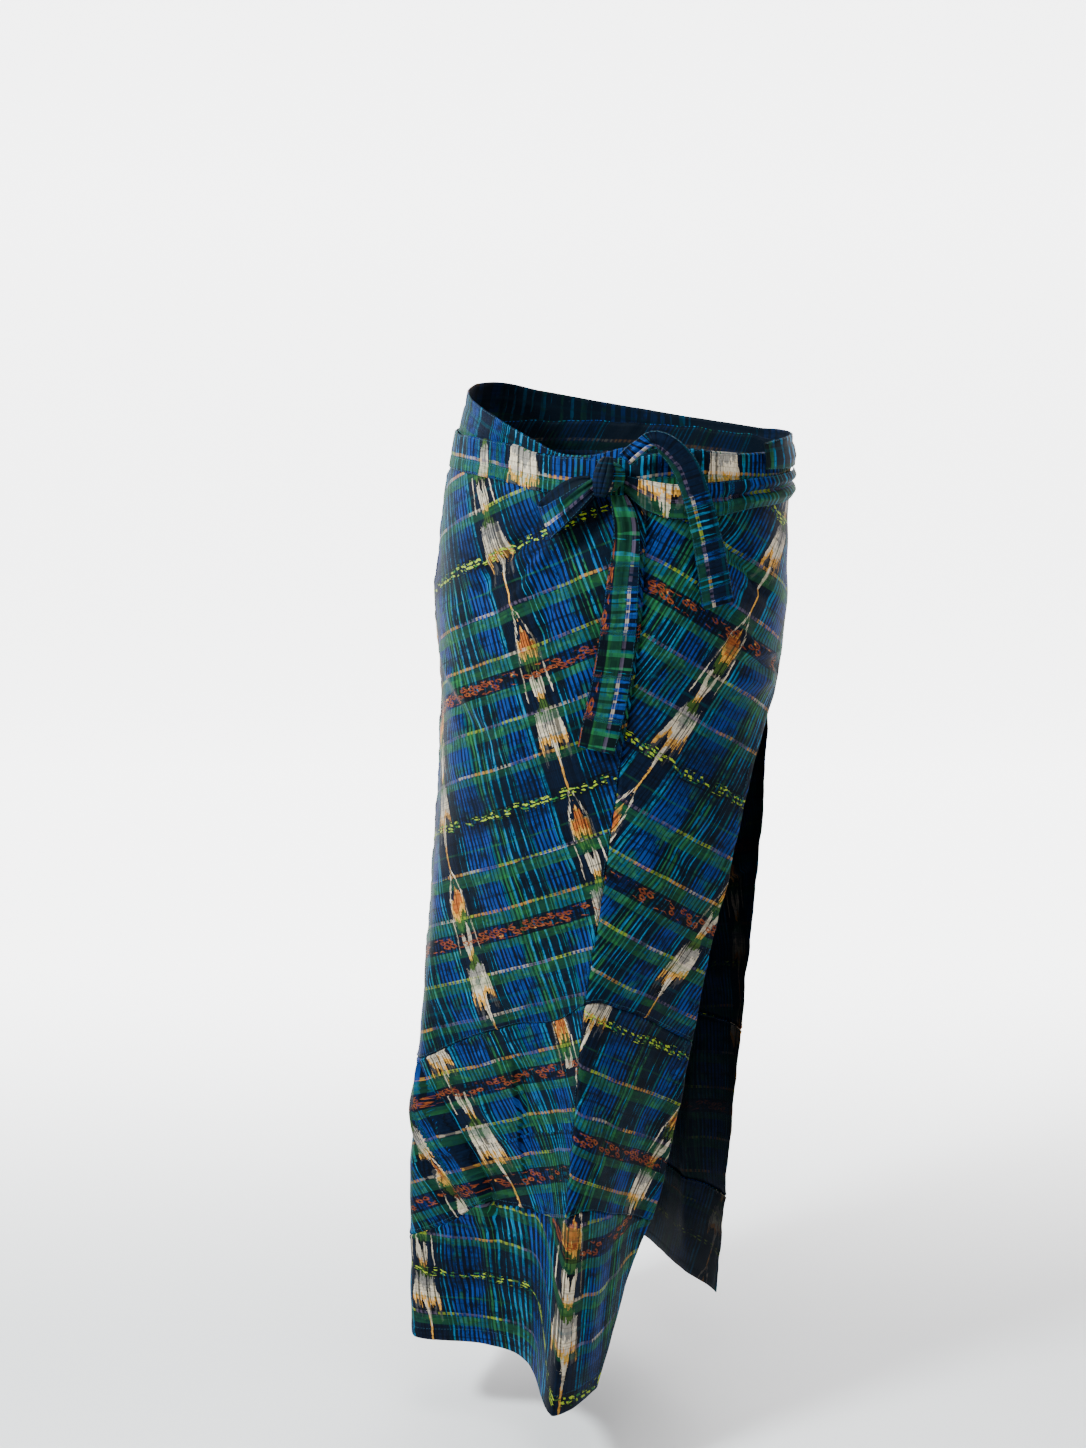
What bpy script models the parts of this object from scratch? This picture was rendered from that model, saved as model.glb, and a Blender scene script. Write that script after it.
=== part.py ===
# Wrap skirt: ankle length, three tiers, one waistband, two ties knotted at the back.
# It keeps the form it has when worn. Waist, hem and the slit beside the back panel are open.
# Metres. +X is the wearer's right, +Y the wearer's front, +Z up.
# The origin is the centre of the waist ring, half-way up the waistband.
#
# Every cloth piece is a patch of one surface. A point of that surface has an angle
# (degrees, 0 at the wearer's right, 90 front, 180 left, 270 back) and a height.
# The back panel ends at 382 degrees at the waist, so it laps 22 degrees over the front panel.

import bpy
import numpy as np

# Cloth
PANEL_WALL = 0.0012
WAISTBAND_WALL = 0.0020
TIE_WALL = 0.0016
SEAM_GAP = 0.0003

# Lengths, and angles in degrees
HEM_HEIGHT = -0.900
WAISTBAND_WIDTH = 0.033
WAISTBAND_START = 2.0
WAISTBAND_END = 382.0
LAP_LIFT = 0.0030
LAP_STARTS_AT = 335.0
LAP_FULL_AT = 355.0
SEAM_BESIDE_CREST = 1.5
MEAN_RADIUS = 0.155

# Steps along the surface that give its normal
STEP_ROUND = 0.2
STEP_UP = 0.0005

# A small number that rounds the very top of each fold
FOLD_ROUNDING = 0.0004

# Level sections: an ellipse about a centre that moves to the left and forward on the way down
SECTIONS = np.array(
    [
        # height, half width, half depth, centre x, centre y
        (0.060, 0.1440, 0.103, -0.001, 0.000),
        (0.000, 0.1565, 0.110, -0.003, 0.000),
        (-0.060, 0.1600, 0.118, -0.008, 0.000),
        (-0.130, 0.1650, 0.124, -0.012, 0.000),
        (-0.220, 0.1585, 0.124, -0.015, 0.003),
        (-0.320, 0.1600, 0.124, -0.019, 0.006),
        (-0.500, 0.1595, 0.126, -0.032, 0.012),
        (-0.700, 0.1555, 0.132, -0.045, 0.020),
        (-0.900, 0.1415, 0.140, -0.049, 0.028),
    ]
)

# Lines that run down the skirt
CREST_LINE = np.array(
    [
        # height, angle
        (0.06, 301),
        (-0.17, 300),
        (-0.25, 296),
        (-0.33, 292.5),
        (-0.40, 290.3),
        (-0.50, 287),
        (-0.62, 286),
        (-0.71, 284.8),
        (-0.79, 283.6),
        (-0.90, 281),
    ]
)
SIDE_LINE = np.array(
    [
        (0.06, 190),
        (-0.30, 190),
        (-0.90, 200),
    ]
)
FRONT_EDGE = np.array(
    [
        (0.06, 0),
        (-0.03, 0),
        (-0.12, 5),
        (-0.22, 10),
        (-0.40, 14),
        (-0.55, 18),
        (-0.72, 23),
        (-0.90, 28),
    ]
)
BACK_EDGE = np.array(
    [
        (0.06, 382),
        (-0.03, 382),
        (-0.12, 377),
        (-0.18, 368),
        (-0.22, 360),
        (-0.26, 350.5),
        (-0.31, 344.5),
        (-0.38, 339.8),
        (-0.46, 336),
        (-0.56, 334),
        (-0.66, 332),
        (-0.73, 329.5),
        (-0.78, 323.5),
        (-0.83, 311.5),
        (-0.87, 301.5),
        (-0.90, 296),
    ]
)

# Lines that run round the skirt
WAIST_LINE = np.array(
    [
        # angle, height
        (0, -0.006),
        (90, 0.000),
        (190, 0.003),
        (228, 0.002),
        (258, -0.006),
        (285, -0.006),
        (317, 0.001),
        (345, -0.005),
        (384, -0.006),
    ]
)
TIER_1_LINE = np.array(
    [
        (0, -0.575),
        (90, -0.600),
        (190, -0.605),
        (212, -0.593),
        (224, -0.567),
        (251, -0.532),
        (279, -0.507),
        (286, -0.490),
        (300, -0.498),
        (321, -0.528),
        (336, -0.552),
    ]
)
TIER_2_LINE = np.array(
    [
        (0, -0.775),
        (90, -0.790),
        (190, -0.795),
        (212, -0.790),
        (224, -0.765),
        (236, -0.737),
        (254, -0.729),
        (277, -0.716),
        (287, -0.697),
        (303, -0.717),
        (325, -0.745),
        (336, -0.755),
    ]
)

# Folds: each starts at a height, follows a line down, and grows to its full depth at the hem
FOLDS = [
    # start height, line it follows, depth, width below, width above, sharpness, growth
    (-0.25, CREST_LINE, 0.066, 7.5, 14.0, 1.5, 1.3),
    (-0.35, np.array([(-0.35, 250.0), (HEM_HEIGHT, 250.0)]), -0.034, 26.0, 26.0, 2.0, 1.2),
    (-0.35, np.array([(-0.35, 325.0), (HEM_HEIGHT, 322.0)]), -0.050, 22.0, 22.0, 2.0, 1.3),
    (-0.30, np.array([(-0.30, 208.0), (HEM_HEIGHT, 217.0)]), 0.039, 20.0, 8.5, 1.6, 1.2),
    (-0.30, np.array([(-0.30, 90.0), (HEM_HEIGHT, 92.0)]), 0.040, 22.0, 22.0, 2.0, 1.2),
    (-0.30, np.array([(-0.30, 10.0), (HEM_HEIGHT, 25.0)]), 0.012, 20.0, 16.0, 2.0, 1.2),
]

# Ties: rows along each band. The tilt is the slope of its width, 90 is upright.
TIE_WRAP = [
    # angle, height, width, lift, tilt
    (343, 0.0090, 0.022, 0.0066, 90),
    (352, 0.0090, 0.026, 0.0070, 90),
    (365, 0.0080, 0.028, 0.0066, 90),
    (380, 0.0060, 0.030, 0.0062, 90),
    (396, 0.0040, 0.032, 0.0038, 90),
    (430, 0.0080, 0.033, 0.0032, 90),
    (470, 0.0180, 0.033, 0.0032, 90),
    (500, 0.0290, 0.033, 0.0032, 90),
    (518, 0.0390, 0.033, 0.0028, 90),
    (532, 0.0420, 0.033, 0.0000, 90),
    (546, 0.0410, 0.033, -0.0028, 90),
    (564, 0.0335, 0.033, -0.0036, 90),
    (578, 0.0255, 0.033, -0.0036, 90),
    (592, 0.0155, 0.033, -0.0036, 90),
    (604, 0.0070, 0.032, -0.0036, 90),
    (618, -0.0020, 0.030, -0.0036, 90),
    (634, -0.0010, 0.028, -0.0036, 90),
    (646, 0.0060, 0.026, -0.0036, 90),
    (653, 0.0140, 0.014, -0.0038, 90),
    (659, 0.0210, 0.008, -0.0034, 90),
    (664, 0.0235, 0.008, 0.0010, 90),
    (668, 0.0225, 0.008, 0.0058, 90),
    (671, 0.0170, 0.010, 0.0064, 90),
]
TIE_SIDE = [
    (368, -0.0200, 0.024, 0.0056, 90),
    (360, -0.0200, 0.025, 0.0058, 90),
    (350, -0.0210, 0.026, 0.0054, 90),
    (339, -0.0215, 0.026, 0.0048, 90),
    (330, -0.0235, 0.029, 0.0044, 90),
    (322, -0.0255, 0.031, 0.0040, 90),
    (310, -0.0260, 0.030, 0.0040, 90),
    (300, -0.0210, 0.026, 0.0046, 90),
    (294, -0.0150, 0.020, 0.0056, 90),
    (290.2, -0.0105, 0.014, 0.0064, 90),
]
BOW_LOOP = [
    (277.6, -0.0115, 0.016, 0.0120, 120),
    (273.0, -0.0190, 0.026, 0.0165, 120),
    (267.0, -0.0300, 0.032, 0.0190, 120),
    (261.5, -0.0400, 0.034, 0.0180, 120),
    (258.9, -0.0445, 0.034, 0.0150, 120),
    (258.2, -0.0455, 0.034, 0.0115, 120),
    (259.4, -0.0435, 0.034, 0.0078, 120),
    (262.5, -0.0380, 0.033, 0.0058, 120),
    (267.5, -0.0290, 0.030, 0.0050, 120),
    (272.5, -0.0200, 0.024, 0.0050, 120),
    (276.6, -0.0130, 0.015, 0.0056, 120),
]
BOW_TAIL_SHORT = [
    (290.0, 0.0095, 0.014, 0.0120, -45),
    (293.5, 0.0170, 0.016, 0.0150, -38),
    (297.5, 0.0235, 0.017, 0.0165, -18),
    (302.0, 0.0255, 0.018, 0.0165, -82),
    (307.4, 0.0190, 0.019, 0.0150, -132),
    (312.4, 0.0050, 0.021, 0.0125, -155),
    (316.6, -0.0180, 0.022, 0.0100, -162),
    (320.4, -0.0470, 0.024, 0.0080, -163),
    (323.6, -0.0810, 0.027, 0.0068, -165),
    (326.0, -0.1170, 0.029, 0.0072, -168),
]
BOW_TAIL_LONG = [
    (288.0, -0.0205, 0.013, 0.0105, 0),
    (290.5, -0.0340, 0.019, 0.0100, 0),
    (292.4, -0.0550, 0.022, 0.0082, 0),
    (291.8, -0.1060, 0.030, 0.0066, 0),
    (290.4, -0.1630, 0.036, 0.0062, -3),
    (287.2, -0.2130, 0.038, 0.0070, -8),
    (284.6, -0.2460, 0.036, 0.0090, -10),
]

# Knot
KNOT_ANGLE = 283.5
KNOT_HEIGHT = -0.005
KNOT_LIFT = 0.0098
KNOT_HALF = (0.0148, 0.0138, 0.0080)
KNOT_SEGMENTS = 24
KNOT_RINGS = 12
GROOVE_DEPTH = 0.12
GROOVE_LEAN = 0.6
GROOVE_WIDTH = 0.28

# How finely each cloth is divided
FRONT_COLUMNS = 30
LEFT_COLUMNS = 22
RIGHT_COLUMNS = 15
LEFT_EVENNESS = 0.55
LEFT_CROWDING = 1.9
RIGHT_CROWDING = 1.45
LEFT_NEAR_SEAM = 0.993
CREST_COLUMNS = np.array([0, 0.35, 1])
UPPER_ROWS = 12
UPPER_LAP_ROWS = 16
MIDDLE_ROWS = 6
MIDDLE_LAP_ROWS = 8
FRONT_LOWER_ROWS = 6
BACK_LOWER_ROWS = 9
WAISTBAND_COLUMNS = 72
WAISTBAND_ROWS = 3
TIE_STEPS = 3
TIE_ROWS = 3
SETTLING_ROUNDS = 30

# Cloth colours
BLUE = (0.035, 0.10, 0.30, 1.0)
TEAL = (0.03, 0.16, 0.24, 1.0)
NAVY = (0.02, 0.04, 0.12, 1.0)
CLOTH_ROUGHNESS = 0.7

for old in list(bpy.data.objects):
    bpy.data.objects.remove(old)
collection = bpy.data.collections.new("wrap_skirt")
bpy.context.scene.collection.children.link(collection)


def curve_through(rows, at, column=1):
    # Smooth cubic through the rows of a table, by its first column
    order = np.argsort(rows[:, 0])
    knots = rows[order, 0]
    values = rows[order, column]
    gaps = np.diff(knots)
    slopes = np.diff(values) / gaps
    tangents = np.empty_like(values)
    tangents[1:-1] = (slopes[:-1] * gaps[1:] + slopes[1:] * gaps[:-1]) / (gaps[:-1] + gaps[1:])
    tangents[0] = slopes[0]
    tangents[-1] = slopes[-1]
    at = np.clip(at, knots[0], knots[-1])
    i = np.clip(np.searchsorted(knots, at) - 1, 0, len(gaps) - 1)
    t = (at - knots[i]) / gaps[i]
    near = (2 * t**3 - 3 * t**2 + 1) * values[i] + (t**3 - 2 * t**2 + t) * gaps[i] * tangents[i]
    far = (3 * t**2 - 2 * t**3) * values[i + 1] + (t**3 - t**2) * gaps[i] * tangents[i + 1]
    return near + far


def waist_height(angle):
    # The lap reads on past 360 degrees, and beyond it the angle starts again from 0
    return curve_through(WAIST_LINE, np.where(angle > WAIST_LINE[-1, 0], angle - 360, angle))


def radius(angle, height):
    # The ellipse's radius at this angle, plus each fold: depth x growth x a bell about its line
    turn = np.radians(angle)
    half_width = curve_through(SECTIONS, height, 1)
    half_depth = curve_through(SECTIONS, height, 2)
    total = 1 / np.sqrt((np.cos(turn) / half_width) ** 2 + (np.sin(turn) / half_depth) ** 2)
    for start, line, depth, below, above, sharpness, growth in FOLDS:
        grown = np.clip((start - height) / (start - HEM_HEIGHT), 0, 1)
        away = (angle - curve_through(line, height) + 180) % 360 - 180
        away = away / np.where(away < 0, below, above)
        bell = np.exp(-(np.sqrt(away**2 + FOLD_ROUNDING) ** sharpness))
        total = total + depth * grown**growth * bell
    return total


def surface(angle, height, lift=0.0):
    # A point of the surface, moved out from the axis by the lift
    turn = np.radians(angle)
    reach = radius(angle, height) + lift
    x = curve_through(SECTIONS, height, 3) + reach * np.cos(turn)
    y = curve_through(SECTIONS, height, 4) + reach * np.sin(turn)
    return np.stack([x, y, np.broadcast_to(height, x.shape)], axis=-1)


def normal_at(angle, height):
    # Unit normal of the surface, from two small steps along it
    step_round = surface(angle + STEP_ROUND, height) - surface(angle - STEP_ROUND, height)
    step_up = surface(angle, height + STEP_UP) - surface(angle, height - STEP_UP)
    normal = np.cross(step_round, step_up)
    return normal / np.linalg.norm(normal, axis=-1, keepdims=True)


def lap_lift(angle):
    # The back panel is lifted off the front panel where the two lie over each other
    t = np.clip((angle - LAP_STARTS_AT) / (LAP_FULL_AT - LAP_STARTS_AT), 0, 1)
    return LAP_LIFT * t * t * (3 - 2 * t)


def give_material(obj, color):
    material = bpy.data.materials.new(obj.name + "_cloth")
    material.use_nodes = True
    shader = material.node_tree.nodes["Principled BSDF"]
    shader.inputs["Base Color"].default_value = color
    shader.inputs["Roughness"].default_value = CLOTH_ROUGHNESS
    obj.data.materials.append(material)


def wall_object(name, points, wall, color):
    # A grid of points (rows down, columns to the right as seen from outside) becomes one closed wall
    rows, columns = points.shape[:2]
    faces = []
    for j in range(rows - 1):
        for i in range(columns - 1):
            a = j * columns + i
            faces.append((a, a + columns, a + columns + 1, a + 1))
    mesh = bpy.data.meshes.new(name)
    mesh.from_pydata(points.reshape(-1, 3).tolist(), [], faces)
    obj = bpy.data.objects.new(name, mesh)
    collection.objects.link(obj)
    solid = obj.modifiers.new("wall", "SOLIDIFY")
    solid.thickness = wall
    solid.offset = -1
    solid.use_even_offset = True
    give_material(obj, color)
    return obj


def panel(name, top, bottom, lines, weights, rows, color, lift=None):
    # lines: the lines down the skirt that the panel's columns lie between
    # weights: for each pair of lines, the columns' places between them, 0 to 1
    ends = np.cumsum([0] + [len(places) for places in weights])

    def angle_at(height):
        found = []
        for k, places in enumerate(weights):
            own = height[..., ends[k] : ends[k + 1]]
            first = lines[k](own)
            last = lines[k + 1](own)
            found.append(first + (last - first) * places)
        return np.concatenate(found, axis=-1)

    def settle(edge):
        # An edge's height depends on the angle and the angle on the height, so both are worked out in turn
        height = np.full(ends[-1], (HEM_HEIGHT - WAISTBAND_WIDTH) / 2)
        for _ in range(SETTLING_ROUNDS):
            height = edge(angle_at(height))
        return height

    high = settle(top)
    low = settle(bottom)
    down = np.linspace(0, 1, rows + 1)[:, None]
    height = high + (low - high) * down
    angle = angle_at(height)
    out = 0.0 if lift is None else lift(angle)
    return wall_object(name, surface(angle, height, out), PANEL_WALL, color)


def face_out(points, angle, height):
    # Turns the grid over when its faces would look inward, judged at its first rows
    along = points[1, 1] - points[0, 1]
    across = points[0, 2] - points[0, 1]
    outward = normal_at(angle[0, 1], height[0, 1])
    if np.dot(np.cross(along, across), outward) < 0:
        return points[:, ::-1]
    return points


def band(name, table, color):
    # A tie: its rows are joined by smooth curves, and its width follows the surface at the lift
    table = np.array(table, dtype=float)
    last = len(table) - 1
    place = np.concatenate([np.arange(last + 1)[:, None], table], axis=1)
    at = np.linspace(0, last, TIE_STEPS * last + 1)
    angle, height, width, lift, tilt = (curve_through(place, at, k) for k in range(1, 6))
    side = np.linspace(-0.5, 0.5, TIE_ROWS + 1)
    tilt = np.radians(tilt)[:, None]
    reach = radius(angle, height)[:, None]
    move = side[None, :] * width[:, None]
    angle = angle[:, None] + np.degrees(move * np.cos(tilt) / reach)
    height = height[:, None] + move * np.sin(tilt)
    points = surface(angle, height) + normal_at(angle, height) * lift[:, None, None]
    return wall_object(name, face_out(points, angle, height), TIE_WALL, color)


def line_of(table, turned=0.0):
    # One line down the skirt as a function of the height, turned round by some degrees
    return lambda height: curve_through(table, height) + turned


def edge_of(table, raised):
    # One line round the skirt as a function of the angle, raised by a length
    return lambda angle: curve_through(table, angle) + raised


def under_waistband(angle):
    return waist_height(angle) - WAISTBAND_WIDTH / 2 - SEAM_GAP


def hem(angle):
    return np.full_like(angle, HEM_HEIGHT)


half_gap = SEAM_GAP / 2
half_gap_turn = np.degrees(half_gap / MEAN_RADIUS)
front_edge = line_of(FRONT_EDGE)
back_edge = line_of(BACK_EDGE)
crest = line_of(CREST_LINE)
before_side = line_of(SIDE_LINE, -half_gap_turn)
after_side = line_of(SIDE_LINE, half_gap_turn)
before_seam = line_of(CREST_LINE, -SEAM_BESIDE_CREST - half_gap_turn)
after_seam = line_of(CREST_LINE, -SEAM_BESIDE_CREST + half_gap_turn)
above_tier_1 = edge_of(TIER_1_LINE, half_gap)
below_tier_1 = edge_of(TIER_1_LINE, -half_gap)
above_tier_2 = edge_of(TIER_2_LINE, half_gap)
below_tier_2 = edge_of(TIER_2_LINE, -half_gap)

front_lines = [front_edge, before_side]
left_lines = [after_side, before_seam]
right_lines = [after_seam, crest, back_edge]
lower_lines = [after_side, after_seam, crest, back_edge]

# Columns lie closer together toward the crest. Two runs that share one line keep its column once.
even = np.linspace(0, 1, LEFT_COLUMNS + 1)
crowded = 1 - (1 - even) ** LEFT_CROWDING
left_places = LEFT_EVENNESS * even + (1 - LEFT_EVENNESS) * crowded
left_places = np.insert(left_places, -1, LEFT_NEAR_SEAM)
right_places = np.linspace(0, 1, RIGHT_COLUMNS + 1) ** RIGHT_CROWDING
front_columns = [np.linspace(0, 1, FRONT_COLUMNS + 1)]
left_columns = [left_places]
right_columns = [CREST_COLUMNS[:-1], right_places]
lower_columns = [left_places[:-1], CREST_COLUMNS[:-1], right_places]

panel("front_upper", under_waistband, above_tier_1, front_lines, front_columns, UPPER_ROWS, BLUE)
panel("back_left_upper", under_waistband, above_tier_1, left_lines, left_columns, UPPER_ROWS, BLUE)
panel(
    "back_right_upper",
    under_waistband,
    above_tier_1,
    right_lines,
    right_columns,
    UPPER_LAP_ROWS,
    BLUE,
    lap_lift,
)
panel("front_middle", below_tier_1, above_tier_2, front_lines, front_columns, MIDDLE_ROWS, TEAL)
panel("back_left_middle", below_tier_1, above_tier_2, left_lines, left_columns, MIDDLE_ROWS, TEAL)
panel("back_right_middle", below_tier_1, above_tier_2, right_lines, right_columns, MIDDLE_LAP_ROWS, TEAL)
panel("front_lower", below_tier_2, hem, front_lines, front_columns, FRONT_LOWER_ROWS, NAVY)
panel("back_lower", below_tier_2, hem, lower_lines, lower_columns, BACK_LOWER_ROWS, NAVY)

waist_angles = np.linspace(WAISTBAND_START, WAISTBAND_END, WAISTBAND_COLUMNS + 1)
waist_rows = np.linspace(0.5, -0.5, WAISTBAND_ROWS + 1)[:, None] * WAISTBAND_WIDTH
waist_heights = waist_height(waist_angles)[None, :] + waist_rows
waist_turns = np.broadcast_to(waist_angles, waist_heights.shape)
waist_points = surface(waist_turns, waist_heights, lap_lift(waist_angles))
wall_object("waistband", waist_points, WAISTBAND_WALL, BLUE)

band("tie_wrap", TIE_WRAP, NAVY)
band("tie_side", TIE_SIDE, NAVY)
band("bow_loop", BOW_LOOP, TEAL)
band("bow_tail_short", BOW_TAIL_SHORT, TEAL)
band("bow_tail_long", BOW_TAIL_LONG, TEAL)

# The knot is a ball pressed flat against the waistband, with a groove where the tie crosses it
bpy.ops.mesh.primitive_uv_sphere_add(segments=KNOT_SEGMENTS, ring_count=KNOT_RINGS, radius=1.0)
knot = bpy.context.active_object
knot.name = "bow_knot"
for holder in list(knot.users_collection):
    holder.objects.unlink(knot)
collection.objects.link(knot)
ball = np.array([vertex.co[:] for vertex in knot.data.vertices])
from_groove = (ball[:, :1] + GROOVE_LEAN * ball[:, 2:]) / GROOVE_WIDTH
groove = 1 - GROOVE_DEPTH * np.exp(-(from_groove**2))
knot_out = normal_at(np.array(KNOT_ANGLE), np.array(KNOT_HEIGHT))
knot_up = np.array([0.0, 0.0, 1.0]) - knot_out * knot_out[2]
knot_up = knot_up / np.linalg.norm(knot_up)
knot_right = np.cross(knot_up, knot_out)
placed = surface(np.array(KNOT_ANGLE), np.array(KNOT_HEIGHT)) + knot_out * KNOT_LIFT
placed = placed + ball[:, :1] * KNOT_HALF[0] * groove * knot_right
placed = placed + ball[:, 2:] * KNOT_HALF[1] * groove * knot_up
placed = placed - ball[:, 1:2] * KNOT_HALF[2] * knot_out
knot.data.vertices.foreach_set("co", placed.ravel())
knot.data.update()
give_material(knot, NAVY)
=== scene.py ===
import math
import bpy
import numpy as np
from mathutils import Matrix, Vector


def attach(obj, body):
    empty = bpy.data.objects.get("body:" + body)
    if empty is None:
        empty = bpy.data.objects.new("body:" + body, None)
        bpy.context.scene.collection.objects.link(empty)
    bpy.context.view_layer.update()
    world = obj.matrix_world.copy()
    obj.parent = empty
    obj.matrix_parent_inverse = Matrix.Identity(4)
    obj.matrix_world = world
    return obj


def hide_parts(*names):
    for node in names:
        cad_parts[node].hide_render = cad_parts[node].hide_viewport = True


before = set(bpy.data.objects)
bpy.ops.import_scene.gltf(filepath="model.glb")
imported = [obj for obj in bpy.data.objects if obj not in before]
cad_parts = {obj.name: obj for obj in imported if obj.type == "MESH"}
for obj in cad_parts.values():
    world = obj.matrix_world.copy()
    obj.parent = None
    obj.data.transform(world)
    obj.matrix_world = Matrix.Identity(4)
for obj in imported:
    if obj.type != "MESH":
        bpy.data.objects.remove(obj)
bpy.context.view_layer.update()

form = {
    # level sections: height, half width, half depth, centre x, centre y
    "sections": np.array([
        (0.060, 0.1440, 0.103, -0.001, 0.000),
        (0.000, 0.1565, 0.110, -0.003, 0.000),
        (-0.060, 0.1600, 0.118, -0.008, 0.000),
        (-0.130, 0.1650, 0.124, -0.012, 0.000),
        (-0.220, 0.1585, 0.124, -0.015, 0.003),
        (-0.320, 0.1600, 0.124, -0.019, 0.006),
        (-0.500, 0.1595, 0.126, -0.032, 0.012),
        (-0.700, 0.1555, 0.132, -0.045, 0.020),
        (-0.900, 0.1415, 0.140, -0.049, 0.028),
    ]),
    # folds: start height, angle there, angle at hem, depth, width below, width above, sharpness, growth
    # (a fold with no angles of its own follows the crest line)
    "folds": [
        (-0.25, None, None, 0.066, 7.5, 14.0, 1.5, 1.3),
        (-0.35, 250.0, 250.0, -0.034, 26.0, 26.0, 2.0, 1.2),
        (-0.35, 325.0, 322.0, -0.050, 22.0, 22.0, 2.0, 1.3),
        (-0.30, 208.0, 217.0, 0.039, 20.0, 8.5, 1.6, 1.2),
        (-0.30, 90.0, 92.0, 0.040, 22.0, 22.0, 2.0, 1.2),
        (-0.30, 10.0, 25.0, 0.012, 20.0, 16.0, 2.0, 1.2),
    ],
    "foldRounding": 0.0004,
    "hem": -0.900,
    "bandWidth": 0.033,
    "lapLift": 0.0030,
    "lapFrom": 335.0,
    "lapTo": 355.0,
    "seamBesideCrest": 1.5,
    "meanRadius": 0.155,
    # steps along the surface that give its normal
    "stepRound": 0.2,
    "stepUp": 0.0005,
}

# lines down the skirt (height, angle) and round it (angle, height)
downLines = {
    "crest": [(0.06, 301), (-0.17, 300), (-0.25, 296), (-0.33, 292.5), (-0.40, 290.3), (-0.50, 287),
              (-0.62, 286), (-0.71, 284.8), (-0.79, 283.6), (-0.90, 281)],
    "side": [(0.06, 190), (-0.30, 190), (-0.90, 200)],
    "frontEdge": [(0.06, 0), (-0.03, 0), (-0.12, 5), (-0.22, 10), (-0.40, 14), (-0.55, 18), (-0.72, 23),
                  (-0.90, 28)],
    "backEdge": [(0.06, 382), (-0.03, 382), (-0.12, 377), (-0.18, 368), (-0.22, 360), (-0.26, 350.5),
                 (-0.31, 344.5), (-0.38, 339.8), (-0.46, 336), (-0.56, 334), (-0.66, 332), (-0.73, 329.5),
                 (-0.78, 323.5), (-0.83, 311.5), (-0.87, 301.5), (-0.90, 296)],
}
roundLines = {
    "waist": [(0, -0.006), (90, 0.000), (190, 0.003), (228, 0.002), (258, -0.006), (285, -0.006),
              (317, 0.001), (345, -0.005), (384, -0.006)],
    "tier1": [(0, -0.575), (90, -0.600), (190, -0.605), (212, -0.593), (224, -0.567), (251, -0.532),
              (279, -0.507), (286, -0.490), (300, -0.498), (321, -0.528), (336, -0.552)],
    "tier2": [(0, -0.775), (90, -0.790), (190, -0.795), (212, -0.790), (224, -0.765), (236, -0.737),
              (254, -0.729), (277, -0.716), (287, -0.697), (303, -0.717), (325, -0.745), (336, -0.755)],
}


def through(rows, at, column=1):
    # smooth cubic through a table's rows, read by its first column; its slope at a row is the mean of those
    # on both sides, each weighted by the other side's gap
    rows = np.asarray(rows, float)
    rows = rows[np.argsort(rows[:, 0])]
    knots, values = rows[:, 0], rows[:, column]
    gaps = np.diff(knots)
    slopes = np.diff(values) / gaps
    lean = np.empty_like(values)
    lean[1:-1] = (slopes[:-1] * gaps[1:] + slopes[1:] * gaps[:-1]) / (gaps[:-1] + gaps[1:])
    lean[0], lean[-1] = slopes[0], slopes[-1]
    at = np.clip(at, knots[0], knots[-1])
    i = np.clip(np.searchsorted(knots, at) - 1, 0, len(gaps) - 1)
    t = (at - knots[i]) / gaps[i]
    near = (2 * t**3 - 3 * t**2 + 1) * values[i] + (t**3 - 2 * t**2 + t) * gaps[i] * lean[i]
    far = (3 * t**2 - 2 * t**3) * values[i + 1] + (t**3 - t**2) * gaps[i] * lean[i + 1]
    return near + far


def down(name, height):
    return through(downLines[name], height)


def around(name, angle):
    return through(roundLines[name], np.where(angle > 384, angle - 360, angle))


def reach(angle, height):
    # radius = ellipse at this angle + each fold's depth x growth x bell about the fold's angle
    turn = np.radians(angle)
    wide = through(form["sections"], height, 1)
    deep = through(form["sections"], height, 2)
    total = 1 / np.sqrt((np.cos(turn) / wide) ** 2 + (np.sin(turn) / deep) ** 2)
    for start, angleTop, angleHem, depth, below, above, sharp, growth in form["folds"]:
        grown = np.clip((start - height) / (start - form["hem"]), 0, 1)
        middle = down("crest", height) if angleTop is None else angleTop + (angleHem - angleTop) * grown
        away = (angle - middle + 180) % 360 - 180
        away = away / np.where(away < 0, below, above)
        bell = np.exp(-(np.sqrt(away**2 + form["foldRounding"]) ** sharp))
        total = total + depth * grown**growth * bell
    return total


def surface(angle, height, lift=0.0):
    # point = section's centre + (radius + lift) in the angle's direction, at the height
    angle, height = np.broadcast_arrays(np.asarray(angle, float), np.asarray(height, float))
    turn = np.radians(angle)
    r = reach(angle, height) + lift
    x = through(form["sections"], height, 3) + r * np.cos(turn)
    y = through(form["sections"], height, 4) + r * np.sin(turn)
    return np.stack([x, y, height], axis=-1)


def outward(angle, height):
    # unit normal = cross product of a small step round the surface and a small step up it
    across = surface(angle + form["stepRound"], height) - surface(angle - form["stepRound"], height)
    up = surface(angle, height + form["stepUp"]) - surface(angle, height - form["stepUp"])
    n = np.cross(across, up)
    return n / np.linalg.norm(n, axis=-1, keepdims=True)


def lapLift(angle):
    # the lap lies on the panel under it: a smooth step from 0 to its full lift
    t = np.clip((angle - form["lapFrom"]) / (form["lapTo"] - form["lapFrom"]), 0, 1)
    return form["lapLift"] * t * t * (3 - 2 * t)


# length along the cloth from the crest line, kept in a table of angles and heights
cutTable = {
    "firstAngle": -4, "lastAngle": 392, "angleStep": 0.5,
    "lowest": -0.92, "highest": 0.081, "heightStep": 0.01,
}


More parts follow.
